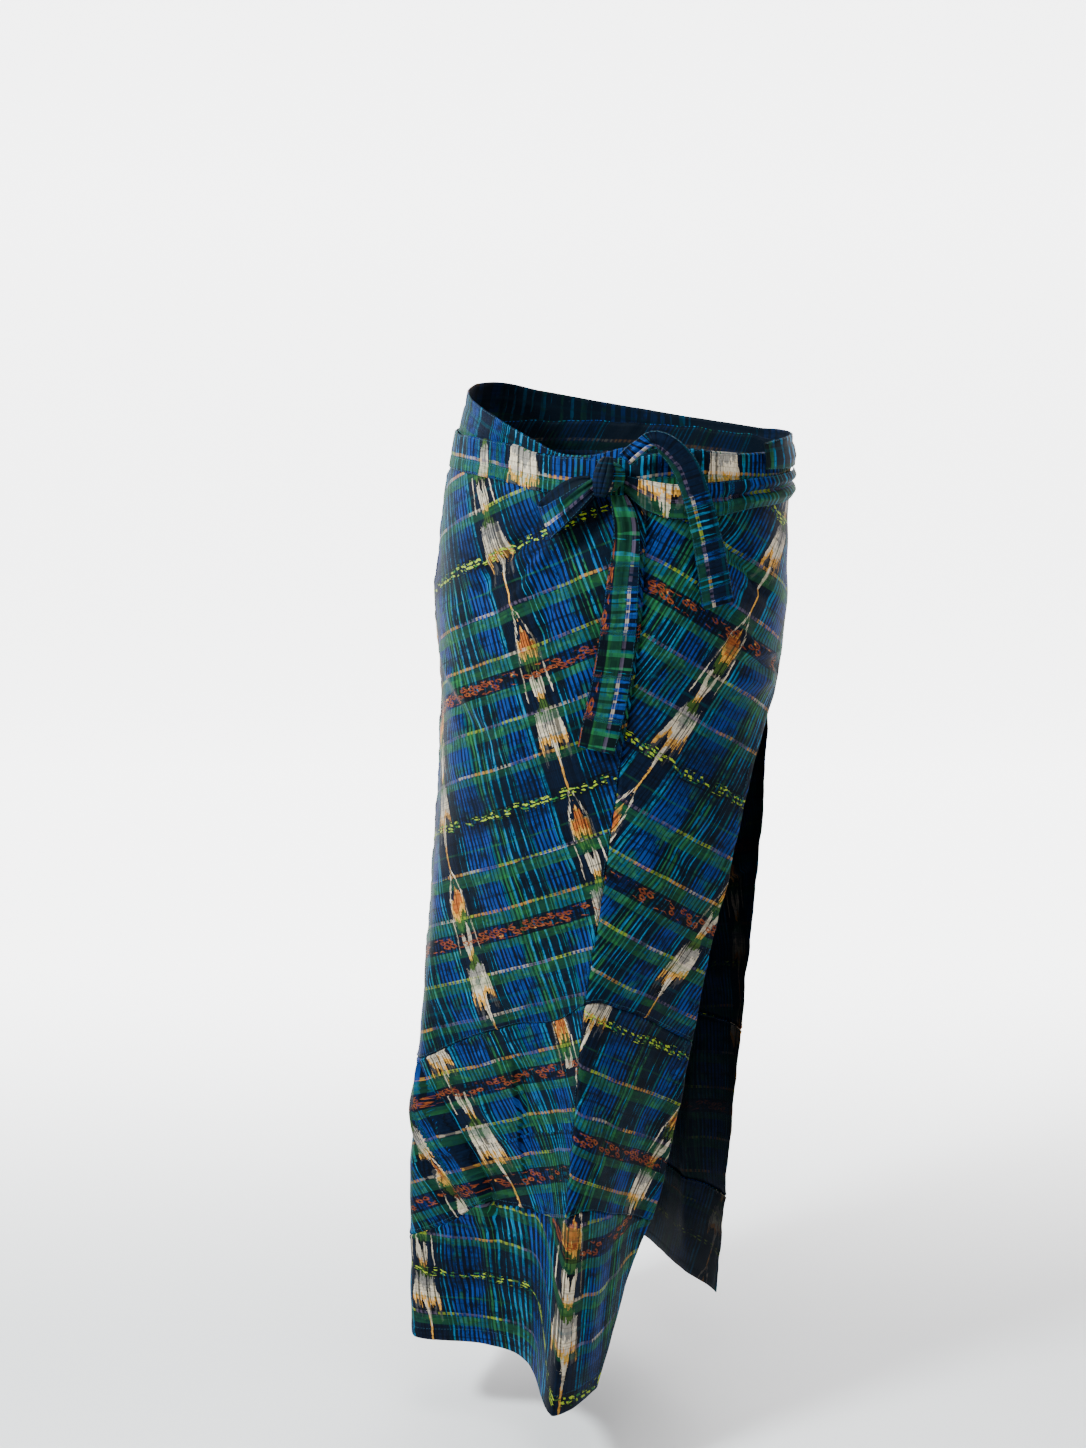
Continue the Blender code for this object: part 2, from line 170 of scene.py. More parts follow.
def fillCutTable():
    # run = sum of the steps round the surface at one height, less the run at the crest line
    angles = np.arange(cutTable["firstAngle"], cutTable["lastAngle"], cutTable["angleStep"])
    heights = np.arange(cutTable["lowest"], cutTable["highest"], cutTable["heightStep"])
    a, h = np.meshgrid(angles, heights)
    steps = np.linalg.norm(np.diff(surface(a, h), axis=1), axis=-1)
    run = np.concatenate([np.zeros((len(h), 1)), np.cumsum(steps, axis=1)], axis=1)
    zero = [np.interp(down("crest", np.array([z]))[0], angles, row) for z, row in zip(heights, run)]
    cutTable["run"] = run - np.array(zero)[:, None]


def clothX(angle, height):
    # bilinear reading of the table
    table = cutTable["run"]
    i = np.clip((angle - cutTable["firstAngle"]) / cutTable["angleStep"], 0, table.shape[1] - 1.001)
    j = np.clip((height - cutTable["lowest"]) / cutTable["heightStep"], 0, table.shape[0] - 1.001)
    i0, j0 = i.astype(int), j.astype(int)
    fi, fj = i - i0, j - j0
    low = table[j0, i0] * (1 - fi) + table[j0, i0 + 1] * fi
    high = table[j0 + 1, i0] * (1 - fi) + table[j0 + 1, i0 + 1] * fi
    return low * (1 - fj) + high * fj


fillCutTable()
print("form ready")

# node helpers: each adds a node to the tree in use and hands back its output
inUse = {}


def add(kind, **settings):
    node = inUse["tree"].nodes.new("ShaderNode" + kind)
    for name, value in settings.items():
        setattr(node, name, value)
    return node


def feed(socket, value):
    if isinstance(value, bpy.types.NodeSocket):
        inUse["tree"].links.new(value, socket)
    else:
        socket.default_value = value


def maths(operation, *values, clamp=False):
    node = add("Math", operation=operation, use_clamp=clamp)
    for socket, value in zip(node.inputs, values):
        feed(socket, value)
    return node.outputs[0]


def times(a, b, clamp=False):
    return maths("MULTIPLY", a, b, clamp=clamp)


def plus(a, b):
    return maths("ADD", a, b)


def minus(a, b):
    return maths("SUBTRACT", a, b)


def scaled(value, factor, offset):
    return maths("MULTIPLY_ADD", value, factor, offset)


def below(value, limit):
    return maths("LESS_THAN", value, limit)


def above(value, limit):
    return maths("GREATER_THAN", value, limit)


def size(value):
    return maths("ABSOLUTE", value)


def cell(value, length):
    # number of the repeat that a place is in
    return maths("FLOOR", maths("DIVIDE", value, length))


def wrapped(value, length):
    # share of the way through the repeat, 0 to 1
    return maths("FRACT", maths("DIVIDE", value, length))


def mix(share, first, second, blend="MIX"):
    node = add("Mix", data_type="RGBA", blend_type=blend)
    feed(node.inputs[0], share)
    feed(node.inputs[6], first)
    feed(node.inputs[7], second)
    return node.outputs[2]


def ramp(value, stops, kind="CONSTANT"):
    node = add("ValToRGB")
    node.color_ramp.interpolation = kind
    elements = node.color_ramp.elements
    while len(elements) < len(stops):
        elements.new(0.5)
    for element, (place, color) in zip(elements, stops):
        element.position = place
    for element, (place, color) in zip(elements, stops):
        element.color = color
    feed(node.inputs[0], value)
    return node.outputs


def grey(tone):
    return (tone, tone, tone, 1)


def slope(value, low, high, first, last):
    # first tone up to low, last tone from high, an even change between
    return ramp(value, [(0.0, grey(first)), (low, grey(first)), (high, grey(last))], "LINEAR")[0]


def curve(value, points):
    node = add("FloatCurve")
    line = node.mapping.curves[0]
    line.points[0].location = points[0]
    line.points[-1].location = points[-1]
    for place in points[1:-1]:
        line.points.new(*place)
    for point in line.points:
        point.handle_type = "VECTOR"
    node.mapping.update()
    feed(node.inputs["Value"], value)
    return node.outputs[0]


def vector(x, y, z=0.0):
    node = add("CombineXYZ")
    for socket, value in zip(node.inputs, (x, y, z)):
        feed(socket, value)
    return node.outputs[0]


def noise(place, scale=1.0, detail=2.0, rough=0.5):
    node = add("TexNoise")
    feed(node.inputs["Vector"], place)
    node.inputs["Scale"].default_value = scale
    node.inputs["Detail"].default_value = detail
    node.inputs["Roughness"].default_value = rough
    return node.outputs[0]


def mottle(x, y, perX, perY, seed=0.0, detail=2.0, rough=0.5):
    # noise with so many spots a metre across and along the cloth
    return noise(vector(times(x, perX), times(y, perY), seed), 1.0, detail, rough)


def chance(x, y, seed):
    # one random number for each cell
    node = add("TexWhiteNoise", noise_dimensions="3D")
    feed(node.inputs["Vector"], vector(x, y, seed))
    return node.outputs["Value"]


camera = {"azimuth": 18.0, "pitch": 15.0, "distance": 1.83, "height": 0.235, "aside": -0.0705,
          "focalPixels": 2000.0, "pictureTall": 1448.0, "sensor": 36}


def makeCamera():
    a = math.radians(camera["azimuth"])
    ahead = Vector((-math.sin(a), math.cos(a), 0))
    right = Vector((math.cos(a), math.sin(a), 0))
    data = bpy.data.cameras.new("camera")
    data.sensor_width = camera["sensor"]
    data.lens = camera["sensor"] * camera["focalPixels"] / camera["pictureTall"]
    obj = bpy.data.objects.new("camera", data)
    obj.location = -camera["distance"] * ahead + camera["aside"] * right + Vector((0, 0, camera["height"]))
    obj.rotation_euler = (math.radians(90 - camera["pitch"]), 0, a)
    bpy.context.scene.collection.objects.link(obj)
    bpy.context.scene.camera = obj
    return ahead, right


studio = {
    "floor": -1.0,
    # the paper: half its width, its near edge, where it starts to turn up, the turn's radius, its top
    "halfWidth": 6.0, "nearEdge": -5.0, "turnsAt": 2.4, "sweepRadius": 1.2, "top": 5.0,
    "paper": (0.86, 0.86, 0.865, 1),
    "paperRoughness": 0.9,
    "world": (0.95, 0.97, 1.0, 1),
    "worldStrength": 0.20,
    # lights: name, right, toward the camera, up, size, watts, height they point to
    "lights": [
        ("key", -1.38, 0.85, 0.92, 0.36, 86, -0.06),
        ("fill", 1.7, 1.9, 0.5, 1.2, 17, -0.20),
        ("top", 0.0, 0.7, 1.5, 0.9, 22, -0.1),
        ("rim", 0.8, -2.0, 1.4, 1.2, 20, -0.42),
    ],
    "lightsPointTo": -0.03,
    "keyColor": (0.90, 0.98, 1.0),
    # the paper glows behind the skirt, from none at the first distance to all of it at the second
    "glow": 4.4,
    "glowFrom": 0.05,
    "glowTo": 1.3,
}


def makePaper(ahead, right):
    # sweep: a floor that turns up into a wall behind by a quarter circle, a profile carried sideways
    t = np.linspace(0, math.pi / 2, 24)
    r = studio["sweepRadius"]
    turnsAt = studio["turnsAt"]
    along = np.concatenate([[studio["nearEdge"]], turnsAt + r * np.sin(t), [turnsAt + r]])
    up = np.concatenate([[0.0], r - r * np.cos(t), [studio["top"]]]) + studio["floor"]
    sides = np.array([-1, 1]) * studio["halfWidth"]
    points = along[:, None, None] * np.array(ahead) + sides[None, :, None] * np.array(right)
    points[..., 2] += up[:, None]
    i = 2 * np.arange(len(along) - 1)
    faces = np.stack([i, i + 1, i + 3, i + 2], -1)
    mesh = bpy.data.meshes.new("floor")
    mesh.from_pydata(points.reshape(-1, 3), [], faces)
    mesh.shade_smooth()
    floor = bpy.data.objects.new("floor", mesh)
    bpy.context.scene.collection.objects.link(floor)
    paper = bpy.data.materials.new("paper")
    paper.use_nodes = True
    inUse["tree"] = paper.node_tree
    shader = paper.node_tree.nodes["Principled BSDF"]
    shader.inputs["Base Color"].default_value = studio["paper"]
    shader.inputs["Roughness"].default_value = studio["paperRoughness"]
    behind = add("VectorMath", operation="DOT_PRODUCT")
    feed(behind.inputs[0], add("TexCoord").outputs["Object"])
    behind.inputs[1].default_value = ahead
    glow = add("MapRange", interpolation_type="SMOOTHSTEP")
    feed(glow.inputs["Value"], behind.outputs["Value"])
    glow.inputs["From Min"].default_value = studio["glowFrom"]
    glow.inputs["From Max"].default_value = studio["glowTo"]
    glow.inputs["To Max"].default_value = studio["glow"]
    shader.inputs["Emission Color"].default_value = studio["paper"]
    feed(shader.inputs["Emission Strength"], glow.outputs["Result"])
    mesh.materials.append(paper)


def makeLights(ahead, right):
    for name, rightward, back, up, wide, watts, aim in studio["lights"]:
        light = bpy.data.lights.new(name, "AREA")
        light.shape = "DISK"
        light.size = wide
        light.energy = watts
        light.color = studio["keyColor"] if name == "key" else (1, 1, 1)
        obj = bpy.data.objects.new(name, light)
        obj.location = right * rightward - ahead * back + Vector((0, 0, up))
        aimed = Vector((studio["lightsPointTo"], 0, aim)) - obj.location
        obj.rotation_euler = aimed.to_track_quat("-Z", "Y").to_euler()
        bpy.context.scene.collection.objects.link(obj)
    world = bpy.data.worlds.new("studio")
    world.use_nodes = True
    world.node_tree.nodes["Background"].inputs["Color"].default_value = studio["world"]
    world.node_tree.nodes["Background"].inputs["Strength"].default_value = studio["worldStrength"]
    bpy.context.scene.world = world


cameraAhead, cameraRight = makeCamera()
makePaper(cameraAhead, cameraRight)
makeLights(cameraAhead, cameraRight)
print("camera and studio ready")

# dyes of the print, linear colour
dyes = {
    "black": (0.0004, 0.0016, 0.0045),
    "navy": (0.0010, 0.0052, 0.0170),
    "cobalt": (0.0018, 0.030, 0.160),
    "violet": (0.0080, 0.026, 0.190),
    "turquoise": (0.0014, 0.130, 0.265),
    "teal": (0.0015, 0.060, 0.080),
    "green": (0.0085, 0.082, 0.032),
    "leaf": (0.0160, 0.130, 0.030),
    "olive": (0.034, 0.070, 0.014),
    "lime": (0.300, 0.400, 0.020),
    "ivory": (0.520, 0.440, 0.320),
    "grey": (0.200, 0.185, 0.160),
    "smoke": (0.040, 0.040, 0.042),
    "ochre": (0.560, 0.270, 0.040),
    "orange": (0.330, 0.085, 0.016),
    "brick": (0.130, 0.026, 0.009),
    "rust": (0.230, 0.058, 0.013),
    "lilac": (0.120, 0.090, 0.150),
}

plaid = {
    "columnEvery": 0.155,
    "weftEvery": 0.232,
    "figureEvery": 0.178,
    "lineEvery": 0.0046,
    # warp: start in mm from a figure column's centre, dye, share of black line
    "warp": [
        (0, "navy", 0.10), (15.0, "turquoise", 0.52), (25.5, "cobalt", 0.31), (60, "teal", 0.46),
        (65, "green", 0.36), (70, "turquoise", 0.50), (74, "green", 0.40), (79, "turquoise", 0.57),
        (103, "teal", 0.42), (107, "cobalt", 0.33), (131, "turquoise", 0.52), (140, "navy", 0.10),
    ],
    # weft: start in mm, dye, strength
    "weft": [
        (0, "black", 0.80), (7, "navy", 0.66), (11, "navy", 0.36), (15, "navy", 0.0), (27, "green", 0.40),
        (29, "navy", 0.0), (49, "green", 0.68), (60, "green", 0.0), (73, "black", 0.55),
        (74.4, "black", 0.0), (91, "green", 0.60), (103, "black", 0.86), (119, "green", 0.60),
        (127, "green", 0.0), (151, "green", 0.66), (161, "green", 0.0), (174, "teal", 0.45),
        (176, "teal", 0.0), (191, "green", 0.50), (198, "navy", 0.40), (210, "navy", 0.70),
        (225, "black", 0.80),
    ],
    "dashRows": [(46, 49), (88, 91), (148, 151), (188, 191)],
    # figure: place in mm down the column from the fork's tip, then four half widths in mm
    "outline": [
        (0, 0, 0, 0.2, 1.4), (15, 0, 0, 4.6, 6.0), (27, 4.0, 5.0, 7.6, 9.2), (29, 6.2, 8.0, 8.4, 10.2),
        (47, 8.4, 9.6, 10.0, 11.8), (49, 6.8, 7.6, 10.6, 12.2), (58, 6.4, 7.0, 11.0, 12.6),
        (60, 3.0, 5.0, 11.2, 12.8), (65, 1.8, 6.6, 11.4, 13.0), (72, 0, 6.4, 12.0, 13.4),
        (79, 0, 4.8, 12.6, 13.6), (81, 0, 4.2, 12.8, 12.9), (87, 0, 3.4, 12.8, 12.9),
        (97, 0, 7.6, 12.8, 12.9), (99, 2.0, 10.8, 10.8, 10.8), (122, 10.0, 14.2, 14.2, 14.2),
        (127, 12, 14.8, 14.8, 14.8), (129, 3.4, 7.0, 14.8, 14.8), (140, 1.8, 6.0, 13.0, 13.0),
        (142, 1.2, 1.2, 1.2, 1.2), (160, 0.9, 0.9, 0.9, 0.9), (178, 0.8, 0.8, 0.8, 0.8),
    ],
    "inner": [(0, "ochre"), (21, "orange"), (38, "ochre"), (44, "olive"), (56, "black"), (98, "grey"),
              (112, "ivory"), (122, "ochre"), (128, "ivory"), (150, "ochre")],
    "second": [(0, "orange"), (25, "ochre"), (40, "smoke"), (50, "olive"), (59, "ivory"), (80, "ochre"),
               (86, "olive"), (98, "grey"), (106, "ivory"), (122, "ochre"), (128, "black"),
               (141, "ivory")],
    "third": [(0, "navy"), (27, "ivory"), (47, "navy"), (98, "ivory"), (122, "ochre"), (128, "smoke"),
              (141, "navy")],
    "outer": [(0, "ivory"), (27, "smoke"), (48, "ivory"), (80, "navy"), (98, "ivory"), (128, "smoke"),
              (141, "navy")],
    # figure column's number and how far its fork's tip lies down the cloth, in mm
    "shifts": [(-2, 150), (-1, 94), (0, 53), (9, 90), (10, 29), (11, 33), (12, 100), (19, 120), (20, 142),
               (21, 33), (22, 46), (23, 125), (24, 3), (29, 60), (30, 57), (31, 22), (38, 30), (39, 90),
               (40, 50), (41, 120), (42, 10), (43, 80), (48, 60), (49, 130), (50, 40), (51, 110), (52, 60),
               (58, 20), (59, 93), (60, 0), (61, 70), (62, 120), (63, 30), (66, 30), (67, 158), (68, 31),
               (69, 31), (70, 31)],
    # columns without figures, used where the ties show plain dark ground, and as a painted shade strip along
    # the deep fold of the back left middle panel
    "plain": (63.5, 66.5),
    # how far a thread's end may stand past the figure's edge, by the place down the figure
    "comb": [(0, 0.01), (0.10, 0.02), (0.14, 0.05), (0.30, 0.06), (0.45, 0.04), (0.60, 0.03), (0.70, 0.05),
             (0.76, 0.10), (0.84, 0.14), (0.93, 0.02), (1, 0.01)],
    "halfFigure": 16.0,
    # columns are numbered from this one, and the table of shifts has room for so many
    "firstColumn": -3,
    "columns": 76,
    # chains: middle in the weft repeat, link's length and height, seed, share left out, rings or bars
    "chains": [
        {"centre": 0.0, "link": 0.0098, "tall": 0.0034, "seed": 11.0, "missing": 0.14, "rings": False,
         "coats": [(0.0, "leaf"), (0.40, "olive"), (0.47, "lime"), (0.60, "leaf"), (0.66, "lime")]},
        {"centre": 0.1115, "link": 0.0088, "tall": 0.0046, "seed": 15.0, "missing": 0.46, "rings": True,
         "coats": [(0.0, "brick"), (0.50, "rust"), (0.56, "brick"), (0.64, "rust"), (0.70, "ochre")]},
    ],
    "dashEvery": 0.0046,
    "dashColors": [(0.0, "lilac"), (0.26, "ochre"), (0.52, "ivory"), (0.66, "lime"), (0.90, "lilac")],
    "threadEvery": 0.0009,
}


def dye(name, alpha=1.0):
    return (*dyes[name], alpha)


def printWarp(x, y):
    # dyed stripes, lighter and darker thread by thread, with stretches of other dyes whose ends are brushed,
    # then dark lines along them and dark picks across
    span = plaid["columnEvery"] * 1000
    place = wrapped(x, plaid["columnEvery"])
    warp = ramp(place, [(start / span, dye(name)) for start, name, share in plaid["warp"]])[0]
    black = ramp(place, [(start / span, grey(share)) for start, name, share in plaid["warp"]])[0]
    lineChance = chance(cell(x, plaid["lineEvery"]), 0.0, 7.0)
    swell = mottle(x, y, 210.0, 34.0, 4.0)
    lineWidth = times(black, plus(times(lineChance, 1.3), times(swell, 1.45)))
    blackLine = below(wrapped(x, plaid["lineEvery"]), lineWidth)
    streaks = mottle(x, y, 620.0, 30.0, 0.0, 2.5, 0.6)
    threads = chance(cell(x, 0.0008), cell(y, 0.05), 1.0)
    light = scaled(lineChance, 0.5, scaled(threads, 0.35, scaled(streaks, 2.6, -0.75)))
    light = maths("MAXIMUM", light, 0.10)
    warp = mix(1.0, warp, vector(light, light, light), "MULTIPLY")
    ends = plus(y, times(threads, 0.006))
    patches = mottle(x, ends, 75.0, 80.0, 5.0, 2.5, 0.6)
    warp = mix(times(slope(patches, 0.41, 0.46, 1, 0), 0.80), warp, dye("navy"))
    clouds = mottle(x, ends, 40.0, 42.0, 9.0, 2.5, 0.6)
    warp = mix(times(slope(clouds, 0.57, 0.62, 0, 1), 0.60), warp, dye("green"))
    warp = mix(times(slope(clouds, 0.36, 0.43, 1, 0), 0.45), warp, dye("violet"))
    warp = mix(times(blackLine, 0.93), warp, dye("black"))
    pickLine = above(mottle(x, y, 12.0, 420.0, 2.0, 1.5), 0.60)
    warp = mix(times(pickLine, 0.35), warp, dye("black"))
    return warp, blackLine, streaks, pickLine


def printFigures(warp, x, y, blackLine, streaks, pickLine):
    # ikat figures in their columns: four layers, each as wide as its curve says, with threads' ends uneven
    span = plaid["columnEvery"] * 1000
    figureSpan = plaid["figureEvery"] * 1000
    fromColumn = plus(maths("DIVIDE", x, plaid["columnEvery"]), 0.5)
    side = times(minus(maths("FRACT", fromColumn), 0.5), span)
    column = maths("FLOOR", fromColumn)
    fine = minus(chance(cell(x, 0.0011), column, 2.0), 0.5)
    coarse = minus(chance(cell(x, 0.0027), column, 4.0), 0.5)
    first, columns = plaid["firstColumn"], plaid["columns"]
    shifts = [((number - first) / columns, start / figureSpan) for number, start in plaid["shifts"]]
    shift = curve(maths("DIVIDE", minus(column, first), columns), shifts)
    along = maths("FRACT", minus(maths("DIVIDE", y, plaid["figureEvery"]), shift))
    comb = curve(along, plaid["comb"])
    along = maths("FRACT", plus(along, plus(times(fine, 0.034), times(coarse, comb))))
    ragged = mottle(x, y, 600.0, 220.0, 6.0)
    width = plus(size(side), scaled(ragged, 2.6, -1.3))
    width = maths("DIVIDE", width, plaid["halfFigure"])
    low, high = plaid["plain"]
    width = plus(width, times(times(above(column, low), below(column, high)), 4.0))
    figure = mix(times(blackLine, 0.8), dye("navy"), dye("black"))
    for k, layer in ((4, "outer"), (3, "third"), (2, "second"), (1, "inner")):
        outline = [(row[0] / figureSpan, row[k] / plaid["halfFigure"]) for row in plaid["outline"]]
        half = curve(along, outline)
        coat = ramp(along, [(start / figureSpan, dye(name)) for start, name in plaid[layer]])[0]
        figure = mix(below(width, half), figure, coat)
    # dark warp threads run on through the figure
    dark = below(chance(cell(x, 0.0010), 3.0, 16.0), 0.27)
    figure = mix(times(dark, 0.80), figure, dye("black"))
    hatch = chance(cell(x, 0.0009), cell(y, 0.0032), 3.0)
    bright = times(scaled(hatch, 0.50, scaled(streaks, 0.8, 0.30)), scaled(pickLine, -0.35, 1.0))
    figure = mix(1.0, figure, vector(bright, bright, bright), "MULTIPLY")
    inColumn = below(size(side), plaid["halfFigure"] + 0.3)
    return mix(inColumn, warp, figure), inColumn


def printWeft(warp, x, y, row, blackLine, inColumn):
    # bands woven across: ribbed, patchy, paler over the figures, the dark lines still seen through them
    span = plaid["weftEvery"] * 1000
    weft, strength = ramp(row, [(start / span, dye(name, share)) for start, name, share in plaid["weft"]])
    pick = chance(cell(x, 0.0042), cell(y, 0.0030), 8.0)
    ribs = mottle(x, y, 20.0, 520.0, 12.0, 2.0, 0.6)
    strength = times(strength, plus(scaled(pick, 0.5, -0.1), times(ribs, 1.45)), clamp=True)
    leafy = above(mottle(x, y, 62.0, 120.0, 13.0, 1.5), 0.56)
    greens = [(start / span, grey(1 if name == "green" else 0)) for start, name, share in plaid["weft"]]
    weft = mix(times(leafy, ramp(row, greens)[0]), weft, dye("leaf"))
    cloth = mix(times(strength, scaled(inColumn, -0.45, 1.0)), warp, weft)
    seenLine = times(times(blackLine, minus(1.0, inColumn)), 0.55)
    return mix(seenLine, cloth, dye("black")), ribs


def printDashes(cloth, x, y, row, ribs):
    # pale dashes where the weft floats over the warp
    span = plaid["weftEvery"] * 1000
    rows = 0.0
    for low, high in plaid["dashRows"]:
        rows = plus(rows, times(above(row, low / span), below(row, high / span)))
    length = scaled(chance(cell(x, plaid["dashEvery"]), 1.0, 5.0), 0.55, 0.25)
    dash = below(wrapped(x, plaid["dashEvery"]), length)
    dash = scaled(dash, 0.40, times(above(ribs, 0.5), 0.20))
    dash = times(dash, scaled(mottle(x, y, 45.0, 20.0, 14.0), 1.7, -0.15), clamp=True)
    colors = [(start, dye(name)) for start, name in plaid["dashColors"]]
    color = ramp(chance(cell(x, 0.0230), cell(y, 0.04), 6.0), colors)[0]
    return mix(times(rows, dash), cloth, color)


def printChain(cloth, x, y, row, chain):
    # rows of links side by side, each row with its own shift, links leaning, some missing
    link, tall, seed = chain["link"], chain["tall"], chain["seed"]
    drift = scaled(noise(vector(times(x, 42.0), seed)), 0.0090, -0.0045)
    off = minus(maths("FRACT", plus(row, 0.5 - chain["centre"] / plaid["weftEvery"])), 0.5)
    off = plus(times(off, plaid["weftEvery"]), drift)
    jolt = scaled(mottle(x, y, 240.0, 260.0, seed), 0.0034, -0.0017)
    joltedOff = plus(off, jolt)
    number = cell(joltedOff, tall)
    run = plus(maths("DIVIDE", plus(x, plus(jolt, times(off, -0.7))), link), chance(number, seed, 3.0))
    fx = minus(maths("FRACT", run), 0.5)
    fy = minus(wrapped(joltedOff, tall), 0.5)
    luck = chance(maths("FLOOR", run), number, seed)
    if chain["rings"]:
        # ring: the distance from the link's middle is near a third of its size
        fromMiddle = maths("SQRT", plus(maths("POWER", size(fx), 2.0), maths("POWER", size(fy), 2.0)))
        line = below(size(minus(fromMiddle, 0.33)), 0.13)
    else:
        line = times(below(size(fy), 0.27), below(size(fx), scaled(luck, 0.36, 0.10)))
    halfWidth = scaled(noise(vector(times(x, 60.0), seed, 2.0), 1.0, 1.5), 0.0060, tall * 1.25 - 0.0030)
    line = times(times(line, below(size(off), halfWidth)), above(luck, chain["missing"]))
    worn = above(mottle(x, y, 90.0, 240.0, seed), 0.38)
    coats = [(start, dye(name)) for start, name in chain["coats"]]
    coat = ramp(mottle(x, y, 110.0, 160.0, seed + 1), coats)[0]
    return mix(times(times(line, worn), 0.88), cloth, coat)


def makePrint():
    # the print reads flat cloth coordinates in metres: x across the warp stripes, y along them
    tree = bpy.data.node_groups.new("ikatPlaid", "ShaderNodeTree")
    tree.interface.new_socket("Cloth", in_out="INPUT", socket_type="NodeSocketVector")
    tree.interface.new_socket("Color", in_out="OUTPUT", socket_type="NodeSocketColor")
    tree.interface.new_socket("Height", in_out="OUTPUT", socket_type="NodeSocketFloat")
    inUse["tree"] = tree
    entry = tree.nodes.new("NodeGroupInput")
    leave = tree.nodes.new("NodeGroupOutput")
    parts = add("SeparateXYZ")
    feed(parts.inputs[0], entry.outputs["Cloth"])
    x, y = parts.outputs[0], parts.outputs[1]
    # hand weaving: lines wander by a millimetre or two
    wander = scaled(mottle(x, y, 9.0, 14.0, 0.0, 3.0), 0.0046, -0.0023)
    sag = scaled(mottle(x, y, 16.0, 7.0, 3.0, 3.0), 0.0060, -0.0030)
    x, y = plus(x, wander), plus(y, sag)
    row = wrapped(y, plaid["weftEvery"])
    warp, blackLine, streaks, pickLine = printWarp(x, y)
    warp, inColumn = printFigures(warp, x, y, blackLine, streaks, pickLine)
    cloth, ribs = printWeft(warp, x, y, row, blackLine, inColumn)
    cloth = printDashes(cloth, x, y, row, ribs)
    for chain in plaid["chains"]:
        cloth = printChain(cloth, x, y, row, chain)
    # weave: threads over and under, the product of two sines
    wave = 2 * math.pi / plaid["threadEvery"]
    feed(leave.inputs["Color"], cloth)
    feed(leave.inputs["Height"], times(maths("SINE", times(x, wave)), maths("SINE", times(y, wave))))
    return tree


fabric = {
    "roughness": 0.62, "specular": 0.05, "weaveDepth": 0.00012, "weaveStrength": 0.5,
    # the wrong side's painted shade: a darkening, and a share of dark blue over it, standing in for the shade
    # inside the skirt
    "insidePaintedShade": (0.15, 0.15, 0.1575, 1), "insidePaintedShadeBlue": (0.004, 0.014, 0.03, 1), "paintedShadeBlueShare": 0.25,
}


def clothMaterial(name, group, wrong):
    # one side of the cloth; the wrong side shows the same print with painted shade, darker and bluer
    material = bpy.data.materials.new(name)
    material.use_nodes = True
    inUse["tree"] = material.node_tree
    shader = material.node_tree.nodes["Principled BSDF"]
    made = add("Group", node_tree=group)
    feed(made.inputs["Cloth"], add("UVMap", uv_map="cloth").outputs[0])
    color = made.outputs["Color"]
    if wrong:
        # painted shade: the wrong side is darkened and tinted dark blue for the shade that falls inside the
        # skirt
        color = mix(1.0, color, fabric["insidePaintedShade"], "MULTIPLY")
        color = mix(fabric["paintedShadeBlueShare"], color, fabric["insidePaintedShadeBlue"])
    feed(shader.inputs["Base Color"], color)
    shader.inputs["Roughness"].default_value = fabric["roughness"]
    shader.inputs["Specular IOR Level"].default_value = fabric["specular"]
    bump = add("Bump")
    bump.inputs["Strength"].default_value = fabric["weaveStrength"]
    bump.inputs["Distance"].default_value = fabric["weaveDepth"]
    feed(bump.inputs["Height"], made.outputs["Height"])
    feed(shader.inputs["Normal"], bump.outputs[0])
    return material


printGroup = makePrint()
rightSide = clothMaterial("printedCloth", printGroup, False)
wrongSidePaintedShade = clothMaterial("printedClothInsidePaintedShade", printGroup, True)
print("materials ready")


def gridNormals(points):
    # normal of a grid = cross product of its differences down and across
    n = np.cross(np.gradient(points, axis=0), np.gradient(points, axis=1))
    return n / np.maximum(np.linalg.norm(n, axis=-1, keepdims=True), 1e-12)


def addPiece(name, points, faces):
    mesh = bpy.data.meshes.new(name)
    mesh.from_pydata(points, [], faces)
    mesh.shade_smooth()
    obj = bpy.data.objects.new(name, mesh)
    bpy.context.scene.collection.objects.link(obj)
    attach(obj, "root")
    return obj


def shell(name, outer, thickness, uv, cadNode, recut=None):
    # closed cloth: the grid, the same grid moved in by its thickness, and a rim that joins their edges
    rows, columns = outer.shape[:2]
    inner = outer - gridNormals(outer) * np.broadcast_to(thickness, (rows, columns))[..., None]
    count = rows * columns
    index = np.arange(count).reshape(rows, columns)
    a, b, c, d = index[:-1, :-1], index[1:, :-1], index[1:, 1:], index[:-1, 1:]
    front = np.stack([a, b, c, d], -1).reshape(-1, 4)
    back = np.stack([a, d, c, b], -1).reshape(-1, 4) + count
    edge = np.concatenate([index[:, 0], index[-1, 1:], index[-2::-1, -1], index[0, -2:0:-1]])
    after = np.roll(edge, -1)
    rim = np.stack([edge, edge + count, after + count, after], -1)
    faces = np.concatenate([front, back, rim])
    obj = addPiece(name, np.concatenate([outer.reshape(-1, 3), inner.reshape(-1, 3)]), faces)
    corners = np.concatenate([uv.reshape(-1, 2)] * 2)[faces]
    if recut:
        corners = recut(corners)
    mesh = obj.data
    mesh.uv_layers.new(name="cloth").data.foreach_set("uv", corners.ravel())
    mesh.materials.append(rightSide)
    mesh.materials.append(wrongSidePaintedShade)
    which = np.zeros(len(faces), int)
    which[len(front):len(front) + len(back)] = 1
    mesh.polygons.foreach_set("material_index", which)
    mesh.update()
    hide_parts(cadNode)
    return obj


def waves(place, seed, *lengths):
    # uneven ripple: the mean of sines of unlike lengths, each with its own phase
    total = 0.0
    for k, length in enumerate(lengths):
        total = total + np.sin(2 * np.pi * place / length + seed * 1.7 + k * 2.3)
    return total / len(lengths)


